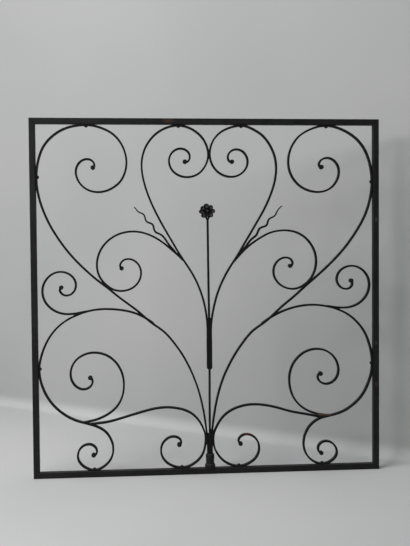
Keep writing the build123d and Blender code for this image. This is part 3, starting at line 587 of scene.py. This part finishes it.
def arith(nt, op, a, b=None, clamp=False):
    n = nt.nodes.new("ShaderNodeMath")
    n.operation = op
    n.use_clamp = clamp
    for i, x in enumerate((a, b)):
        if x is None:
            continue
        if isinstance(x, (int, float)):
            n.inputs[i].default_value = x
        else:
            link(nt, x, n.inputs[i])
    return n.outputs[0]


def blend(nt, fac, a, b):
    n = nt.nodes.new("ShaderNodeMix")
    n.data_type = "RGBA"
    for sock, x in ((n.inputs["Factor"], fac), (n.inputs[6], a), (n.inputs[7], b)):
        if isinstance(x, (int, float)):
            sock.default_value = x
        elif isinstance(x, tuple):
            sock.default_value = (*x, 1.0)
        else:
            link(nt, x, sock)
    return n.outputs[2]


def spot(nt, coord, at, size, wobble=0.35, squash=(1, 1, 1)):
    """Soft round mark at a place on the ironwork, its outline broken up by noise."""
    sub = nt.nodes.new("ShaderNodeVectorMath")
    sub.operation = "SUBTRACT"
    sub.inputs[1].default_value = tuple(x / 1000.0 for x in at)
    link(nt, coord, sub.inputs[0])
    mul = nt.nodes.new("ShaderNodeVectorMath")
    mul.operation = "MULTIPLY"
    mul.inputs[1].default_value = squash
    link(nt, sub.outputs[0], mul.inputs[0])
    ln = nt.nodes.new("ShaderNodeVectorMath")
    ln.operation = "LENGTH"
    link(nt, mul.outputs[0], ln.inputs[0])
    r = size / 1000.0
    mess = arith(nt, "MULTIPLY", arith(nt, "SUBTRACT", tex(nt, coord, 260.0, 3.0, 0.6), 0.5), r * wobble * 3.2)
    return remap(nt, arith(nt, "ADD", ln.outputs["Value"], mess), r * 1.12, r * 0.35)


# top_dust_and_light sets how strongly up-facing faces are painted paler: dust, and painted top light
def iron(name, seed, tone=1.0, spots=(), top_dust_and_light=1.0, gloss=0.0, rust=1.0, hammer=1.0, wear=1.0, spec=0.26):
    m, nt, b = shader(name)
    co = nt.nodes.new("ShaderNodeTexCoord").outputs["Object"]
    k = seed * 1.7
    broad = tex(nt, co, 14.0, 3.0, 0.55, shift=k)
    patch = tex(nt, co, 95.0, 4.0, 0.6, 0.4, shift=k + 3)
    grain = tex(nt, co, 900.0, 3.0, 0.6, shift=k + 5)
    dark = tuple(c * tone for c in (0.0085, 0.0086, 0.0092))
    mid = tuple(c * tone for c in (0.0165, 0.0162, 0.0160))
    worn = tuple(c * tone for c in (0.034, 0.032, 0.029))
    col = blend(nt, remap(nt, broad, 0.3, 0.7), dark, mid)
    col = blend(nt, arith(nt, "MULTIPLY", remap(nt, patch, 0.48, 0.78), 0.55), col, worn)
    # paint rubbed thin on the arrises
    at = nt.nodes.new("ShaderNodeAttribute")
    at.attribute_type = "GEOMETRY"
    at.attribute_name = "edge"
    rub = arith(nt, "MULTIPLY", remap(nt, at.outputs["Fac"], 0.5, 1.0),
                remap(nt, tex(nt, co, 130.0, 4.0, 0.65, shift=k + 9), 0.42, 0.70))
    col = blend(nt, arith(nt, "MULTIPLY", rub, 0.65 * wear), col, tuple(c * tone for c in (0.050, 0.046, 0.041)))
    # dust settled in hollows, and painted highlight: the hollows are painted paler
    hl = nt.nodes.new("ShaderNodeAttribute")
    hl.attribute_type = "GEOMETRY"
    hl.attribute_name = "hollow"
    hollow_dust_and_highlight = arith(nt, "MULTIPLY", hl.outputs["Fac"],
                    remap(nt, tex(nt, co, 240.0, 3.0, 0.6, shift=k + 11), 0.25, 0.7, 0.45, 1.0))
    col = blend(nt, hollow_dust_and_highlight, col, (0.082, 0.080, 0.076))
    # dust on what faces up, and painted top light: up-facing faces are painted paler
    nrm = nt.nodes.new("ShaderNodeNewGeometry")
    sep = nt.nodes.new("ShaderNodeSeparateXYZ")
    link(nt, nrm.outputs["Normal"], sep.inputs[0])
    up = remap(nt, sep.outputs["Z"], 0.25, 0.95)
    up = arith(nt, "MULTIPLY", up, remap(nt, tex(nt, co, 60.0, 4.0, 0.6, shift=k + 13), 0.30, 0.66, 0.35, 1.0))
    col = blend(nt, arith(nt, "MULTIPLY", up, min(1.0, 0.62 * top_dust_and_light)), col, (0.085, 0.083, 0.078))
    # pin-points and small blooms of rust through the paint
    bloom = arith(nt, "MULTIPLY", remap(nt, tex(nt, co, 210.0, 5.0, 0.7, 0.6, shift=k + 17), 0.645, 0.72),
                  remap(nt, tex(nt, co, 11.0, 2.0, 0.5, shift=k + 19), 0.44, 0.66))
    col = blend(nt, arith(nt, "MULTIPLY", bloom, min(1.0, 0.75 * rust)), col, (0.060, 0.030, 0.018))
    rough = remap(nt, patch, 0.3, 0.75, 0.50 - gloss, 0.72 - gloss)
    rough = arith(nt, "ADD", rough, arith(nt, "MULTIPLY", up, 0.18))
    for at_mm, size, colour, strength, squash in spots:
        mask = arith(nt, "MULTIPLY", spot(nt, co, at_mm, size, squash=squash), strength)
        shade = blend(nt, remap(nt, tex(nt, co, 420.0, 4.0, 0.65, shift=k + 23), 0.35, 0.68),
                      colour, tuple(c * 0.42 for c in colour))
        col = blend(nt, mask, col, shade)
        rough = arith(nt, "ADD", rough, arith(nt, "MULTIPLY", mask, 0.22))
    link(nt, col, b.inputs["Base Color"])
    link(nt, arith(nt, "MINIMUM", rough, 0.95), b.inputs["Roughness"])
    b.inputs["Specular IOR Level"].default_value = spec
    h = arith(nt, "ADD",
              arith(nt, "MULTIPLY", tex(nt, co, 165.0, 2.0, 0.5, 0.2, shift=k + 29), 1.0),
              arith(nt, "MULTIPLY", grain, 0.16))
    h = arith(nt, "ADD", h, arith(nt, "MULTIPLY", bloom, 0.22))
    bump = nt.nodes.new("ShaderNodeBump")
    bump.inputs["Strength"].default_value = 0.42 * hammer
    bump.inputs["Distance"].default_value = 0.0012
    link(nt, h, bump.inputs["Height"])
    link(nt, bump.outputs[0], b.inputs["Normal"])
    return m


RUST = (0.135, 0.072, 0.042)
TAN = (0.215, 0.150, 0.105)
RED = (0.190, 0.062, 0.050)


frame_finish = iron("frame_iron", 1, 0.66, hammer=0.9, top_dust_and_light=0.75, spots=[
    ((517, -8, 262), 8, RUST, 0.38, (1.5, 1, 0.8)),
    ((-115, -8, 1066), 15, RUST, 0.36, (0.8, 1, 1.6)),
    ((517, -8, 767), 6, (0.17, 0.16, 0.14), 0.4, (1.5, 1, 0.8)),
    ((516, -8, 390), 6, (0.17, 0.16, 0.14), 0.4, (1.5, 1, 0.8)),
])
# the scroll bars get a darker copy of the frame's iron (tone 0.43 against 0.66): painted shade that takes down the
# light on their side faces
scroll_iron_painted_shade = iron("scroll_iron", 2, 0.43, top_dust_and_light=0.5, wear=0.6, spec=0.17, spots=[
    ((344, -5, 175), 12, TAN, 0.5, (0.8, 0.6, 1.5)),
    ((366, -5, 177), 14, TAN, 0.65, (0.8, 0.6, 1.5)),
    ((388, -5, 183), 11, RUST, 0.45, (0.8, 0.6, 1.4)),
    ((118, -5, 121), 11, RED, 0.75, (0.9, 0.6, 1.4)),
])
rivet_finish = iron("rivet_iron", 3, 0.45, hammer=1.2, top_dust_and_light=0.5, spec=0.2)
flower_finish = iron("flower_iron", 4, 0.33, hammer=0.8, top_dust_and_light=0.25, wear=0.6, spec=0.16)
weld_finish = iron("weld_iron", 5, 0.46, hammer=1.6, top_dust_and_light=0.5, spec=0.18, spots=[
    ((350, -5, 173), 18, RUST, 0.45, (0.8, 0.6, 1.2)),
])

# ---- scroll bars ---------------------------------------------------------------------------
bars = {}


def forge(name, node, points, seed, **kw):
    solid = Solid()
    path, s, t, hl, hr, hf, hb, rc = bar(points, seed, **kw)
    sweep(solid, path, s, t, hl, hr, hf, hb, rc, seed)
    if kw.get("knob", True):
        snub(solid, path[0], seed)
    bars[node] = path
    return solid.build(name, scroll_iron_painted_shade, node)


for side, long_t, heart_t, s_t, side_t, small_t, inner_t, base_t, tendril_t, turn, n0 in (
        ("left", LONG_LEFT, HEART_LEFT, SCROLL_S_LEFT, SIDE_LEFT, SMALL_LEFT, INNER_LEFT,
         BASE_LEFT, TENDRIL_LEFT, "right", 10),
        ("right", LONG_RIGHT, HEART_RIGHT, SCROLL_S_RIGHT, SIDE_RIGHT, SMALL_RIGHT, INNER_RIGHT,
         BASE_RIGHT, TENDRIL_RIGHT, "left", 60)):
    foot = long_t[-1][0]
    forge("forged_long_stem_" + side, "long_stem_" + side,
          long_t + [(foot, 38.0), (foot, FRAME_BAR)], n0 + 1, bury=False)
    forge("forged_heart_scroll_" + side, "heart_scroll_" + side, heart_t, n0 + 7,
          bury=False, end=turn)
    forge("forged_s_scroll_" + side, "s_scroll_" + side, s_t, n0 + 13)
    forge("forged_side_scroll_" + side, "side_scroll_" + side, side_t, n0 + 19)
    forge("forged_small_scroll_" + side, "small_scroll_" + side, small_t, n0 + 25)
    forge("forged_inner_volute_" + side, "inner_volute_" + side, inner_t, n0 + 31)
    forge("forged_base_scroll_" + side, "base_scroll_" + side, base_t, n0 + 37)
    forge("forged_tendril_" + side, "tendril_" + side, tendril_t, n0 + 43, knob=False,
          tip=(3.2, 5.0), bury_len=22.0, swell=0.2 if side == "left" else 0.4)

forge("forged_centre_stem", "centre_stem", STEM, 5, knob=False, bury=False, swell=0.32)


# ---- welds: the crotch between a bar and the one that it is laid into ----------------------
def web(name, child, parent, seed, reach=(5.4, 7.6)):
    """A thin tongue of forged metal that fills the sharp corner where two bars part."""
    c = bars[child][::-1]
    c = c[: int(len(c) * 0.45)]
    p = bars[parent]
    d = np.sqrt(((c[:, None] - p[None]) ** 2).sum(2))
    near = d.argmin(1)
    # a finer distance, to the parent's line and not only to its stations
    gap, feet = [], []
    for q, j in zip(c, near):
        best = (1e9, None)
        for k in (j - 1, j):
            if 0 <= k < len(p) - 1:
                a, b = p[k], p[k + 1]
                u = np.clip(((q - a) @ (b - a)) / ((b - a) @ (b - a)), 0, 1)
                w = a + (b - a) * u
                dist = np.linalg.norm(q - w)
                if dist < best[0]:
                    best = (dist, w)
        gap.append(best[0])
        feet.append(best[1])
    gap, feet = np.array(gap), np.array(feet)
    inside = np.where(gap < reach[0])[0]
    if not len(inside):
        return
    i0 = inside.max()
    beyond = np.where(gap[i0:] > reach[1])[0]
    if not len(beyond):
        return
    i1 = i0 + beyond.min()
    idx = np.linspace(i0, i1, 9)
    at = lambda arr: np.stack([np.interp(idx, np.arange(len(gap)), arr[:, q]) for q in (0, 1)], 1)
    cm, fm = at(c), at(feet)
    g = np.interp(idx, np.arange(len(gap)), gap)
    mid = (cm + fm) / 2
    s = np.r_[0, np.cumsum(np.hypot(*np.diff(mid, axis=0).T))]
    t = directions(mid, s)
    half = np.maximum(g / 2 - BAR_T / 2 + 0.55, 0.45)
    share = s / s[-1]
    depth = 6.55 - 0.5 * share - 1.1 * smooth01(share, 0.72, 1.0) + 0.12 * wander(s, seed, 3)
    solid = Solid()
    sweep(solid, mid, s, t, half, half, depth, depth, np.full(len(s), 0.5), seed, rough=1.6)
    o = solid.build(name, weld_finish, None)
    return o


for side, n0 in (("left", 200), ("right", 230)):
    web("weld_side_scroll_" + side, "side_scroll_" + side, "heart_scroll_" + side, n0 + 1)
    web("weld_s_scroll_" + side, "s_scroll_" + side, "long_stem_" + side, n0 + 2)
    web("weld_small_scroll_" + side, "small_scroll_" + side, "s_scroll_" + side, n0 + 3)
    web("weld_inner_volute_" + side, "inner_volute_" + side, "s_scroll_" + side, n0 + 4)
    web("weld_base_scroll_" + side, "base_scroll_" + side, "s_scroll_" + side, n0 + 5)
    web("weld_tendril_" + side, "tendril_" + side, "heart_scroll_" + side, n0 + 6, reach=(5.1, 7.0))


def gusset(name, a, b, z0, z1, seed):
    """Weld run into the narrow gap between two bars that rise side by side, from z0 to z1."""
    z = np.arange(z0, z1 + 0.1, (z1 - z0) / max(6, round((z1 - z0) / 2.4)))

    def x_at(node):
        p = bars[node]
        p = p[(np.abs(p[:, 0]) < 34) & (p[:, 1] > z0 - 12) & (p[:, 1] < z1 + 12)]
        p = p[np.argsort(p[:, 1])]
        return np.interp(z, p[:, 1], p[:, 0])

    xa, xb = x_at(a), x_at(b)
    path = np.c_[(xa + xb) / 2, z]
    s = z - z[0]
    t = directions(path, s)
    half = np.maximum(np.abs(xb - xa) / 2 - BAR_T / 2 + 0.6, 0.5)
    end = np.minimum(s, s[-1] - s)
    depth = 6.3 - 1.5 * np.exp(-end / 2.0) + 0.18 * wander(s, seed, 3)
    solid = Solid()
    sweep(solid, path, s, t, half, half, depth, depth, np.full(len(s), 0.5), seed, rough=2.0)
    solid.build(name, weld_finish, None)


gusset("weld_foot_inner_left", "long_stem_left", "centre_stem", 99.0, 122.5, 261)
gusset("weld_foot_inner_right", "centre_stem", "long_stem_right", 99.0, 134.5, 262)
gusset("weld_foot_outer_left", "base_scroll_left", "long_stem_left", 89.0, 124.0, 263)
gusset("weld_foot_outer_right", "long_stem_right", "base_scroll_right", 90.0, 130.5, 264)
gusset("weld_bundle_left", "heart_scroll_left", "centre_stem", 446.0, 474.0, 265)
gusset("weld_bundle_right", "centre_stem", "heart_scroll_right", 446.0, 474.0, 266)


# ---- frame ---------------------------------------------------------------------------------
def frame_bar(name, node, a, b, seed):
    """Square bar between two mitres; a to b is its middle line, with the outside on its left."""
    a, b = np.array(a, float), np.array(b, float)
    run = np.linalg.norm(b - a)
    t0 = (b - a) / run
    n0 = np.array([-t0[1], t0[0]])
    s = np.r_[0, 0.7, np.arange(5, run - 4, 4.5), run - 0.7, run]
    m = len(s)
    half = FRAME_BAR / 2
    out = half - SKIN + 0.06 * wander(s, seed, 23) - 0.06
    inn = half - 0.10 + 0.10 * wander(s, seed + 1, 19)
    front = half - 0.16 + 0.10 * wander(s, seed + 2, 17) + 0.05 * wander(s, seed + 7, 70)
    back = half - 0.16 + 0.10 * wander(s, seed + 3, 21)
    for arr in (out, inn, front, back):
        arr[0] -= 0.55
        arr[-1] -= 0.55
    rc = 0.95 * (1 + 0.3 * wander(s, seed + 4, 12))
    off, dep, on, oy, mark = section(out, inn, front, back, rc, wide=True)
    amp = 0.075
    for j in range(off.shape[1]):
        w = wander(s, seed * 17 + j, 8.0) * amp - amp * 0.6
        off[:, j] += on[:, j] * w
        dep[:, j] += oy[:, j] * w
    bow = 0.0
    along = (s[:, None] - run / 2) * (1 + off / (run / 2))
    mid = (a + b) / 2
    x = mid[0] + t0[0] * along + n0[0] * (off + bow)
    z = mid[1] + t0[1] * along + n0[1] * (off + bow)
    solid = Solid()
    solid.rings(np.stack([x, dep, z], 2), np.repeat(mark[None], m, 0))
    return solid.build(name, frame_finish, node)


e, lo_z, hi_z = (FRAME_W - FRAME_BAR) / 2, FRAME_BAR / 2, FRAME_H - FRAME_BAR / 2
frame_bar("forged_frame_top", "frame_top_bar", (-e, hi_z), (e, hi_z), 301)
frame_bar("forged_frame_bottom", "frame_bottom_bar", (e, lo_z), (-e, lo_z), 311)
frame_bar("forged_frame_left", "frame_left_bar", (-e, lo_z), (-e, hi_z), 321)
frame_bar("forged_frame_right", "frame_right_bar", (e, hi_z), (e, lo_z), 331)


def mitre_weld(name, corner, inward, seed):
    """Run of weld, filed nearly flush, along the mitre on the front and the back."""
    solid = Solid()
    for face in (-1, 1):
        s = np.linspace(0, 23.8, 24)
        t0 = np.array(inward) / math.sqrt(2)
        path = np.array(corner) + t0 * (s[:, None] + 0.9)
        t = np.repeat(t0[None], len(s), 0)
        w = 1.05 + 0.35 * wander(s, seed + face, 2.6)
        w = w * np.sqrt(np.clip(1 - ((s - 11.9) / 12.3) ** 4, 0.03, 1))
        high = 0.10 + 0.14 * np.abs(wander(s, seed + 5 + face, 2.2))
        y0 = 8.3
        off, dep, on, oy, mark = section(w, w, np.full(len(s), 0.5), np.full(len(s), 0.5), np.full(len(s), 0.45))
        n = np.array([-t0[1], t0[0]])
        x = path[:, 0:1] + n[0] * off
        z = path[:, 1:2] + n[1] * off
        y = face * (y0 + dep + high[:, None])
        solid.rings(np.stack([x, y, z], 2), np.repeat(mark[None] * 0.6, len(s), 0))
    solid.build(name, weld_finish, None)


W2 = FRAME_W / 2
mitre_weld("weld_corner_top_left", (-W2, FRAME_H), (1, -1), 401)
mitre_weld("weld_corner_top_right", (W2, FRAME_H), (-1, -1), 411)
mitre_weld("weld_corner_bottom_left", (-W2, 0), (1, 1), 421)
mitre_weld("weld_corner_bottom_right", (W2, 0), (-1, 1), 431)


# ---- rivets --------------------------------------------------------------------------------
HEAD = [(0.0, -4.25), (1.3, -4.18), (2.5, -3.85), (3.5, -3.25), (4.3, -2.4), (4.85, -1.4),
        (5.15, -0.45), (5.2, 0.25), (4.6, 0.7), (3.0, 0.75), (3.0, 21.1), (3.6, 22.1),
        (4.6, 23.12), (4.5, 23.32), (3.2, 23.44), (0.0, 23.49)]


def rivet_row(name, node, places, axis, seed):
    solid = Solid()
    rng = np.random.default_rng(seed)
    for k, (x, z) in enumerate(places):
        size = 1 + rng.uniform(-0.06, 0.06)
        profile = [(r * (size if h < 1 else 1), h) for r, h in HEAD]
        marks = [0.7, 0.6, 0.4, 0.3, 0.3, 0.5, 0.8, 0.6] + [0.1] * 4 + [0.4, 0.8, 0.5, 0.3]
        lathe(solid, profile, (x, 0.0, z), axis, seed + k, 32, 0.16, 2.4, marks)
    solid.build(name, rivet_finish, node)


rivet_row("hammered_rivets_top", "rivets_top",
          [(x, FRAME_H - FRAME_BAR - BAR_T) for x in RIVETS_TOP], (0, 0, 1), 501)
rivet_row("hammered_rivets_bottom", "rivets_bottom",
          [(x, FRAME_BAR + BAR_T) for x in RIVETS_BOTTOM], (0, 0, -1), 511)
rivet_row("hammered_rivets_left", "rivets_left",
          [(-W2 + FRAME_BAR + BAR_T, z) for z in RIVETS_LEFT], (-1, 0, 0), 521)
rivet_row("hammered_rivets_right", "rivets_right",
          [(W2 - FRAME_BAR - BAR_T, z) for z in RIVETS_RIGHT], (1, 0, 0), 531)

# ---- ferrule at the foot of the stem -------------------------------------------------------
outline = [
    (0.0, 18.02), (15.0, 18.02), (15.7, 20.6), (15.85, 23.6), (15.8, 26.6), (15.0, 29.0), (13.2, 30.7),
    (12.7, 32.6), (12.3, 37.0), (12.4, 42.0), (12.8, 47.2), (13.1, 50.6), (13.15, 53.6), (13.0, 56.6),
    (12.2, 59.3), (11.0, 60.7), (9.0, 60.95), (0.0, 60.98)]
solid = Solid()
soft = rounded(outline, 4, 0.33, 1.1)
fine = [soft[0]]
for p, q in zip(soft, soft[1:]):
    k = max(1, int(math.hypot(q[0] - p[0], q[1] - p[1]) / 1.3))
    if p[0] < 0.1 or q[0] < 0.1:
        k = 5
    for i in range(1, k + 1):
        fine.append((p[0] + (q[0] - p[0]) * i / k, p[1] + (q[1] - p[1]) * i / k))
marks = []
for r, h in fine:
    crest = max(math.exp(-((h - c) / 1.1) ** 2) for c in (21.0, 28.2, 50.8, 57.6))
    marks.append(min(1.0, crest * (1.0 if r > 10.9 else 0.2)))
lathe(solid, fine, (FERRULE_X, 0, 0), (0, 0, 1), 601, 72, 0.20, 3.4, marks)
solid.build("moulded_ferrule", frame_finish, "stem_ferrule")

# ---- rosette -------------------------------------------------------------------------------
PETALS = [   # angle, distance out, length, width, lift of the rim, turn
    (98, 13.9, 7.7, 8.3, 0.5, -0.22), (42, 15.2, 7.1, 6.7, 0.9, -0.06), (-4, 16.9, 7.6, 6.6, 0.4, 0.05),
    (-49, 16.6, 7.8, 7.2, 0.7, 0.0), (-90, 12.2, 6.6, 5.8, 0.1, 0.06), (-127, 17.3, 7.8, 7.0, 0.5, 0.1),
    (188, 16.9, 7.7, 6.8, 0.7, -0.05), (152, 14.6, 7.4, 7.2, 0.4, 0.14)]
CUP = [  # radius share, height to the front: back, outside, broad rolled rim, shallow hollow
    (0.0, -2.9), (0.22, -2.75), (0.46, -2.2), (0.68, -1.1), (0.84, 0.4), (0.94, 1.9), (0.99, 3.1),
    (1.0, 3.9), (0.97, 4.7), (0.91, 5.2), (0.83, 5.35), (0.75, 5.1), (0.69, 4.5), (0.63, 3.7),
    (0.54, 3.0), (0.42, 2.55), (0.28, 2.35), (0.14, 2.25), (0.0, 2.2)]
CUP_MARK = [0, 0, 0, 0, 0, 0.1, 0.2, 0.3, 0.4, 0.6, 0.6, 0.3, 0.1, 0, 0, 0, 0, 0, 0]
# the petal hollows are painted pale: settled dust, and painted highlight against the shade in the cups
CUP_DUST_AND_HIGHLIGHT = [0, 0, 0, 0, 0, 0, 0, 0, 0, 0, 0, 0, 0.1, 0.45, 0.85, 1, 1, 1, 1]


def to_flower(u, v, w):
    """u right, v up, w towards the front, about the middle of the rosette."""
    return (FLOWER_X + u, -w, FLOWER_Z + v)


solid = Solid()
rng = np.random.default_rng(77)
for ang, dist, length, width, lift, twist in PETALS:
    a0 = math.radians(ang)
    ring_list = []
    seed = rng.integers(1, 999)
    for share, h in CUP:
        ring = []
        for q in np.linspace(0, 2 * math.pi, 44, endpoint=False):
            lu = math.cos(q) * length * share          # away from the middle
            lv = math.sin(q) * width * share
            # a petal narrows a little towards the middle, and its tip is a shade pointed
            lv *= 1 + 0.10 * math.cos(q) - 0.04 * math.cos(2 * q)
            bump_ = noise.noise(Vector((lu / 3.2, lv / 3.2, seed + h * 0.2)))
            k = 1 + 0.045 * bump_ * min(1, share * 1.5)
            lu, lv = lu * k, lv * k
            hh = h + lift * 0.5 * (share ** 2) * math.cos(q) + 0.30 * bump_ * share
            if math.cos(q) < -0.2:                      # rim let down where the boss sits
                hh -= 2.6 * share ** 3 * (-math.cos(q) - 0.2)
            ca, sa = math.cos(a0 + twist), math.sin(a0 + twist)
            u = math.cos(a0) * dist + ca * lu - sa * lv
            v = math.sin(a0) * dist + sa * lu + ca * lv
            ring.append(to_flower(u, v, hh))
        ring_list.append(ring)
    solid.rings(np.array(ring_list), np.repeat(np.array(CUP_MARK)[:, None], 44, 1),
                pale=np.repeat(np.array(CUP_DUST_AND_HIGHLIGHT, float)[:, None] * (0.2 if ang == -90 else 0.9), 44, 1))
# the plate that the petals are raised from
plate = [(0.0, -3.0), (6.0, -3.0), (10.6, -2.7), (11.6, -1.6), (11.4, 0.4), (10.4, 1.5), (9.3, 2.1),
         (8.6, 2.35), (7.9, 2.2), (7.3, 1.5), (6.4, 1.1), (0.0, 1.1)]
lathe(solid, plate, to_flower(BOSS_SHIFT * 0.6, 0, 0), (0, -1, 0), 611, 56, 0.16, 3.0,
      [0, 0, 0, 0.2, 0.2, 0.2, 0.5, 0.7, 0.7, 0.3, 0, 0])
solid.build("raised_rosette", flower_finish, "flower")

boss = [(0.0, -4.6), (3.0, -4.6), (3.6, -4.2), (3.0, -3.6), (2.5, -3.2), (2.5, 1.3), (5.0, 1.6),
        (5.75, 2.2), (5.95, 3.2), (5.8, 4.4), (5.3, 5.5), (4.5, 6.3), (3.7, 6.6), (3.0, 6.45),
        (2.3, 6.0), (1.5, 5.75), (0.7, 5.65), (0.0, 5.65)]
solid = Solid()
# the boss's dished middle is painted pale: dust, and painted highlight
lathe(solid, boss, to_flower(BOSS_SHIFT, 0, 0), (0, -1, 0), 621, 48, 0.14, 2.6,
      [0, 0, 0, 0, 0, 0, 0, 0.1, 0.2, 0.3, 0.5, 0.8, 0.8, 0.4, 0, 0, 0, 0],
      [0, 0, 0, 0, 0, 0, 0, 0, 0, 0, 0, 0, 0, 0.3, 0.8, 1, 1, 1])
solid.build("rosette_boss", flower_finish, "flower_boss")

# neck: two sepals that part at the top of the stem
solid = Solid()
for way, lean in ((1, 0.92), (-1, 1.08)):
    sx = STEM[-1][0]
    line = [(sx + way * 0.5, 764.5), (sx + way * 0.7, 769.0), (sx + way * 1.6, 772.6),
            (sx + way * 3.2 * lean, 775.8), (sx + way * 4.7 * lean, 779.6), (sx + way * 5.7 * lean, 784.6)]
    fine, s_all = cubic(line)
    ids = pick(s_all, fine, 0.6, 1.2)
    path, s, t = fine[ids], s_all[ids], directions(fine, s_all)[ids]
    share = s / s[-1]
    half = 1.5 + 1.4 * np.sin(np.pi * np.clip(share * 0.95, 0, 1)) ** 0.8
    depth = 2.45 - 0.4 * smooth01(share, 0.6, 1.0)
    sweep(solid, path, s, t, half, half, depth, depth, np.full(len(s), 0.7), 640 + way, rough=1.3)
solid.build("flower_sepals", flower_finish, "flower_neck")

# ---- floor and backdrop --------------------------------------------------------------------
m, nt, b = shader("paper")
co = nt.nodes.new("ShaderNodeTexCoord").outputs["Object"]
# floor and wall are one pale paper; the wall is painted darker than the floor, as painted shade for the light that
# falls mostly on the floor
floor_tone = blend(nt, remap(nt, tex(nt, co, 1.4, 2.0), 0.3, 0.7), (0.685, 0.69, 0.69), (0.725, 0.725, 0.72))
wall_painted_shade_tone = blend(nt, remap(nt, tex(nt, co, 1.1, 2.0), 0.3, 0.7), (0.49, 0.495, 0.495), (0.535, 0.535, 0.53))
where = nt.nodes.new("ShaderNodeSeparateXYZ")
link(nt, co, where.inputs[0])
col = blend(nt, remap(nt, where.outputs["Z"], 0.004, 0.05), floor_tone, wall_painted_shade_tone)
link(nt, col, b.inputs["Base Color"])
b.inputs["Roughness"].default_value = 0.9
b.inputs["Specular IOR Level"].default_value = 0.15
wall_at = np.array([0.461, 0.222])
along = np.array([-0.818, 0.575]) / math.hypot(0.818, 0.575)
into = np.array([along[1] * -1, along[0]])
if into[1] > 0:
    into = -into
r = 0.05
profile = [(7.0, 0.0), (3.0, 0.0), (1.0, 0.0)]
profile += [(r - r * math.sin(q), r - r * math.cos(q)) for q in np.linspace(0, math.pi / 2, 12)]
profile += [(0.0, 0.8), (0.0, 1.8), (0.0, 4.2)]
verts, faces = [], []
cuts = np.linspace(-4.0, 6.0, 11)
for c in cuts:
    for u, z in profile:
        p = wall_at + along * c + into * u
        verts.append((p[0], p[1], z))
k = len(profile)
for i in range(len(cuts) - 1):
    for j in range(k - 1):
        faces.append((i * k + j, i * k + j + 1, (i + 1) * k + j + 1, (i + 1) * k + j))
mesh = bpy.data.meshes.new("backdrop")
mesh.from_pydata(verts, [], faces)
mesh.polygons.foreach_set("use_smooth", [True] * len(mesh.polygons))
mesh.materials.append(m)
backdrop = bpy.data.objects.new("backdrop", mesh)
bpy.context.scene.collection.objects.link(backdrop)


# ---- light ---------------------------------------------------------------------------------
def area(name, at, aim, size, watts, colour=(1, 1, 1)):
    d = bpy.data.lights.new(name, "AREA")
    d.shape = "RECTANGLE"
    d.size, d.size_y = size
    d.energy = watts
    d.color = colour
    o = bpy.data.objects.new(name, d)
    o.location = at
    o.rotation_euler = (Vector(aim) - Vector(at)).to_track_quat("-Z", "Y").to_euler()
    bpy.context.scene.collection.objects.link(o)
    return o


area("key", (-2.7, -1.9, 2.0), (-0.2, 0.5, 0.5), (2.2, 0.8), 46.0)
area("overhead", (-1.5, -1.1, 3.0), (-0.6, 0.1, 0.0), (2.0, 1.8), 44.0)
world = bpy.data.worlds.new("studio")
world.use_nodes = True
world.node_tree.nodes["Background"].inputs[0].default_value = (0.95, 0.98, 1.0, 1.0)
world.node_tree.nodes["Background"].inputs[1].default_value = 0.17
bpy.context.scene.world = world
bpy.context.scene.view_settings.view_transform = "Standard"

# ---- camera --------------------------------------------------------------------------------
cam = bpy.data.cameras.new("camera")
cam.sensor_width = 36.0
cam.lens = 49.978
cam.clip_start, cam.clip_end = 0.05, 30.0
view = bpy.data.objects.new("camera", cam)
right = Vector((0.99724436, -0.07375211, -0.00801915))
down = Vector((-0.01019959, -0.02923544, -0.99952051))
ahead = Vector((0.07348230, 0.99684799, -0.02990712))
rot = Matrix((right, -down, -ahead)).transposed()
view.matrix_world = Matrix.Translation((-0.175964, -2.281496, 0.678363)) @ rot.to_4x4()
bpy.context.scene.collection.objects.link(view)
bpy.context.scene.camera = view
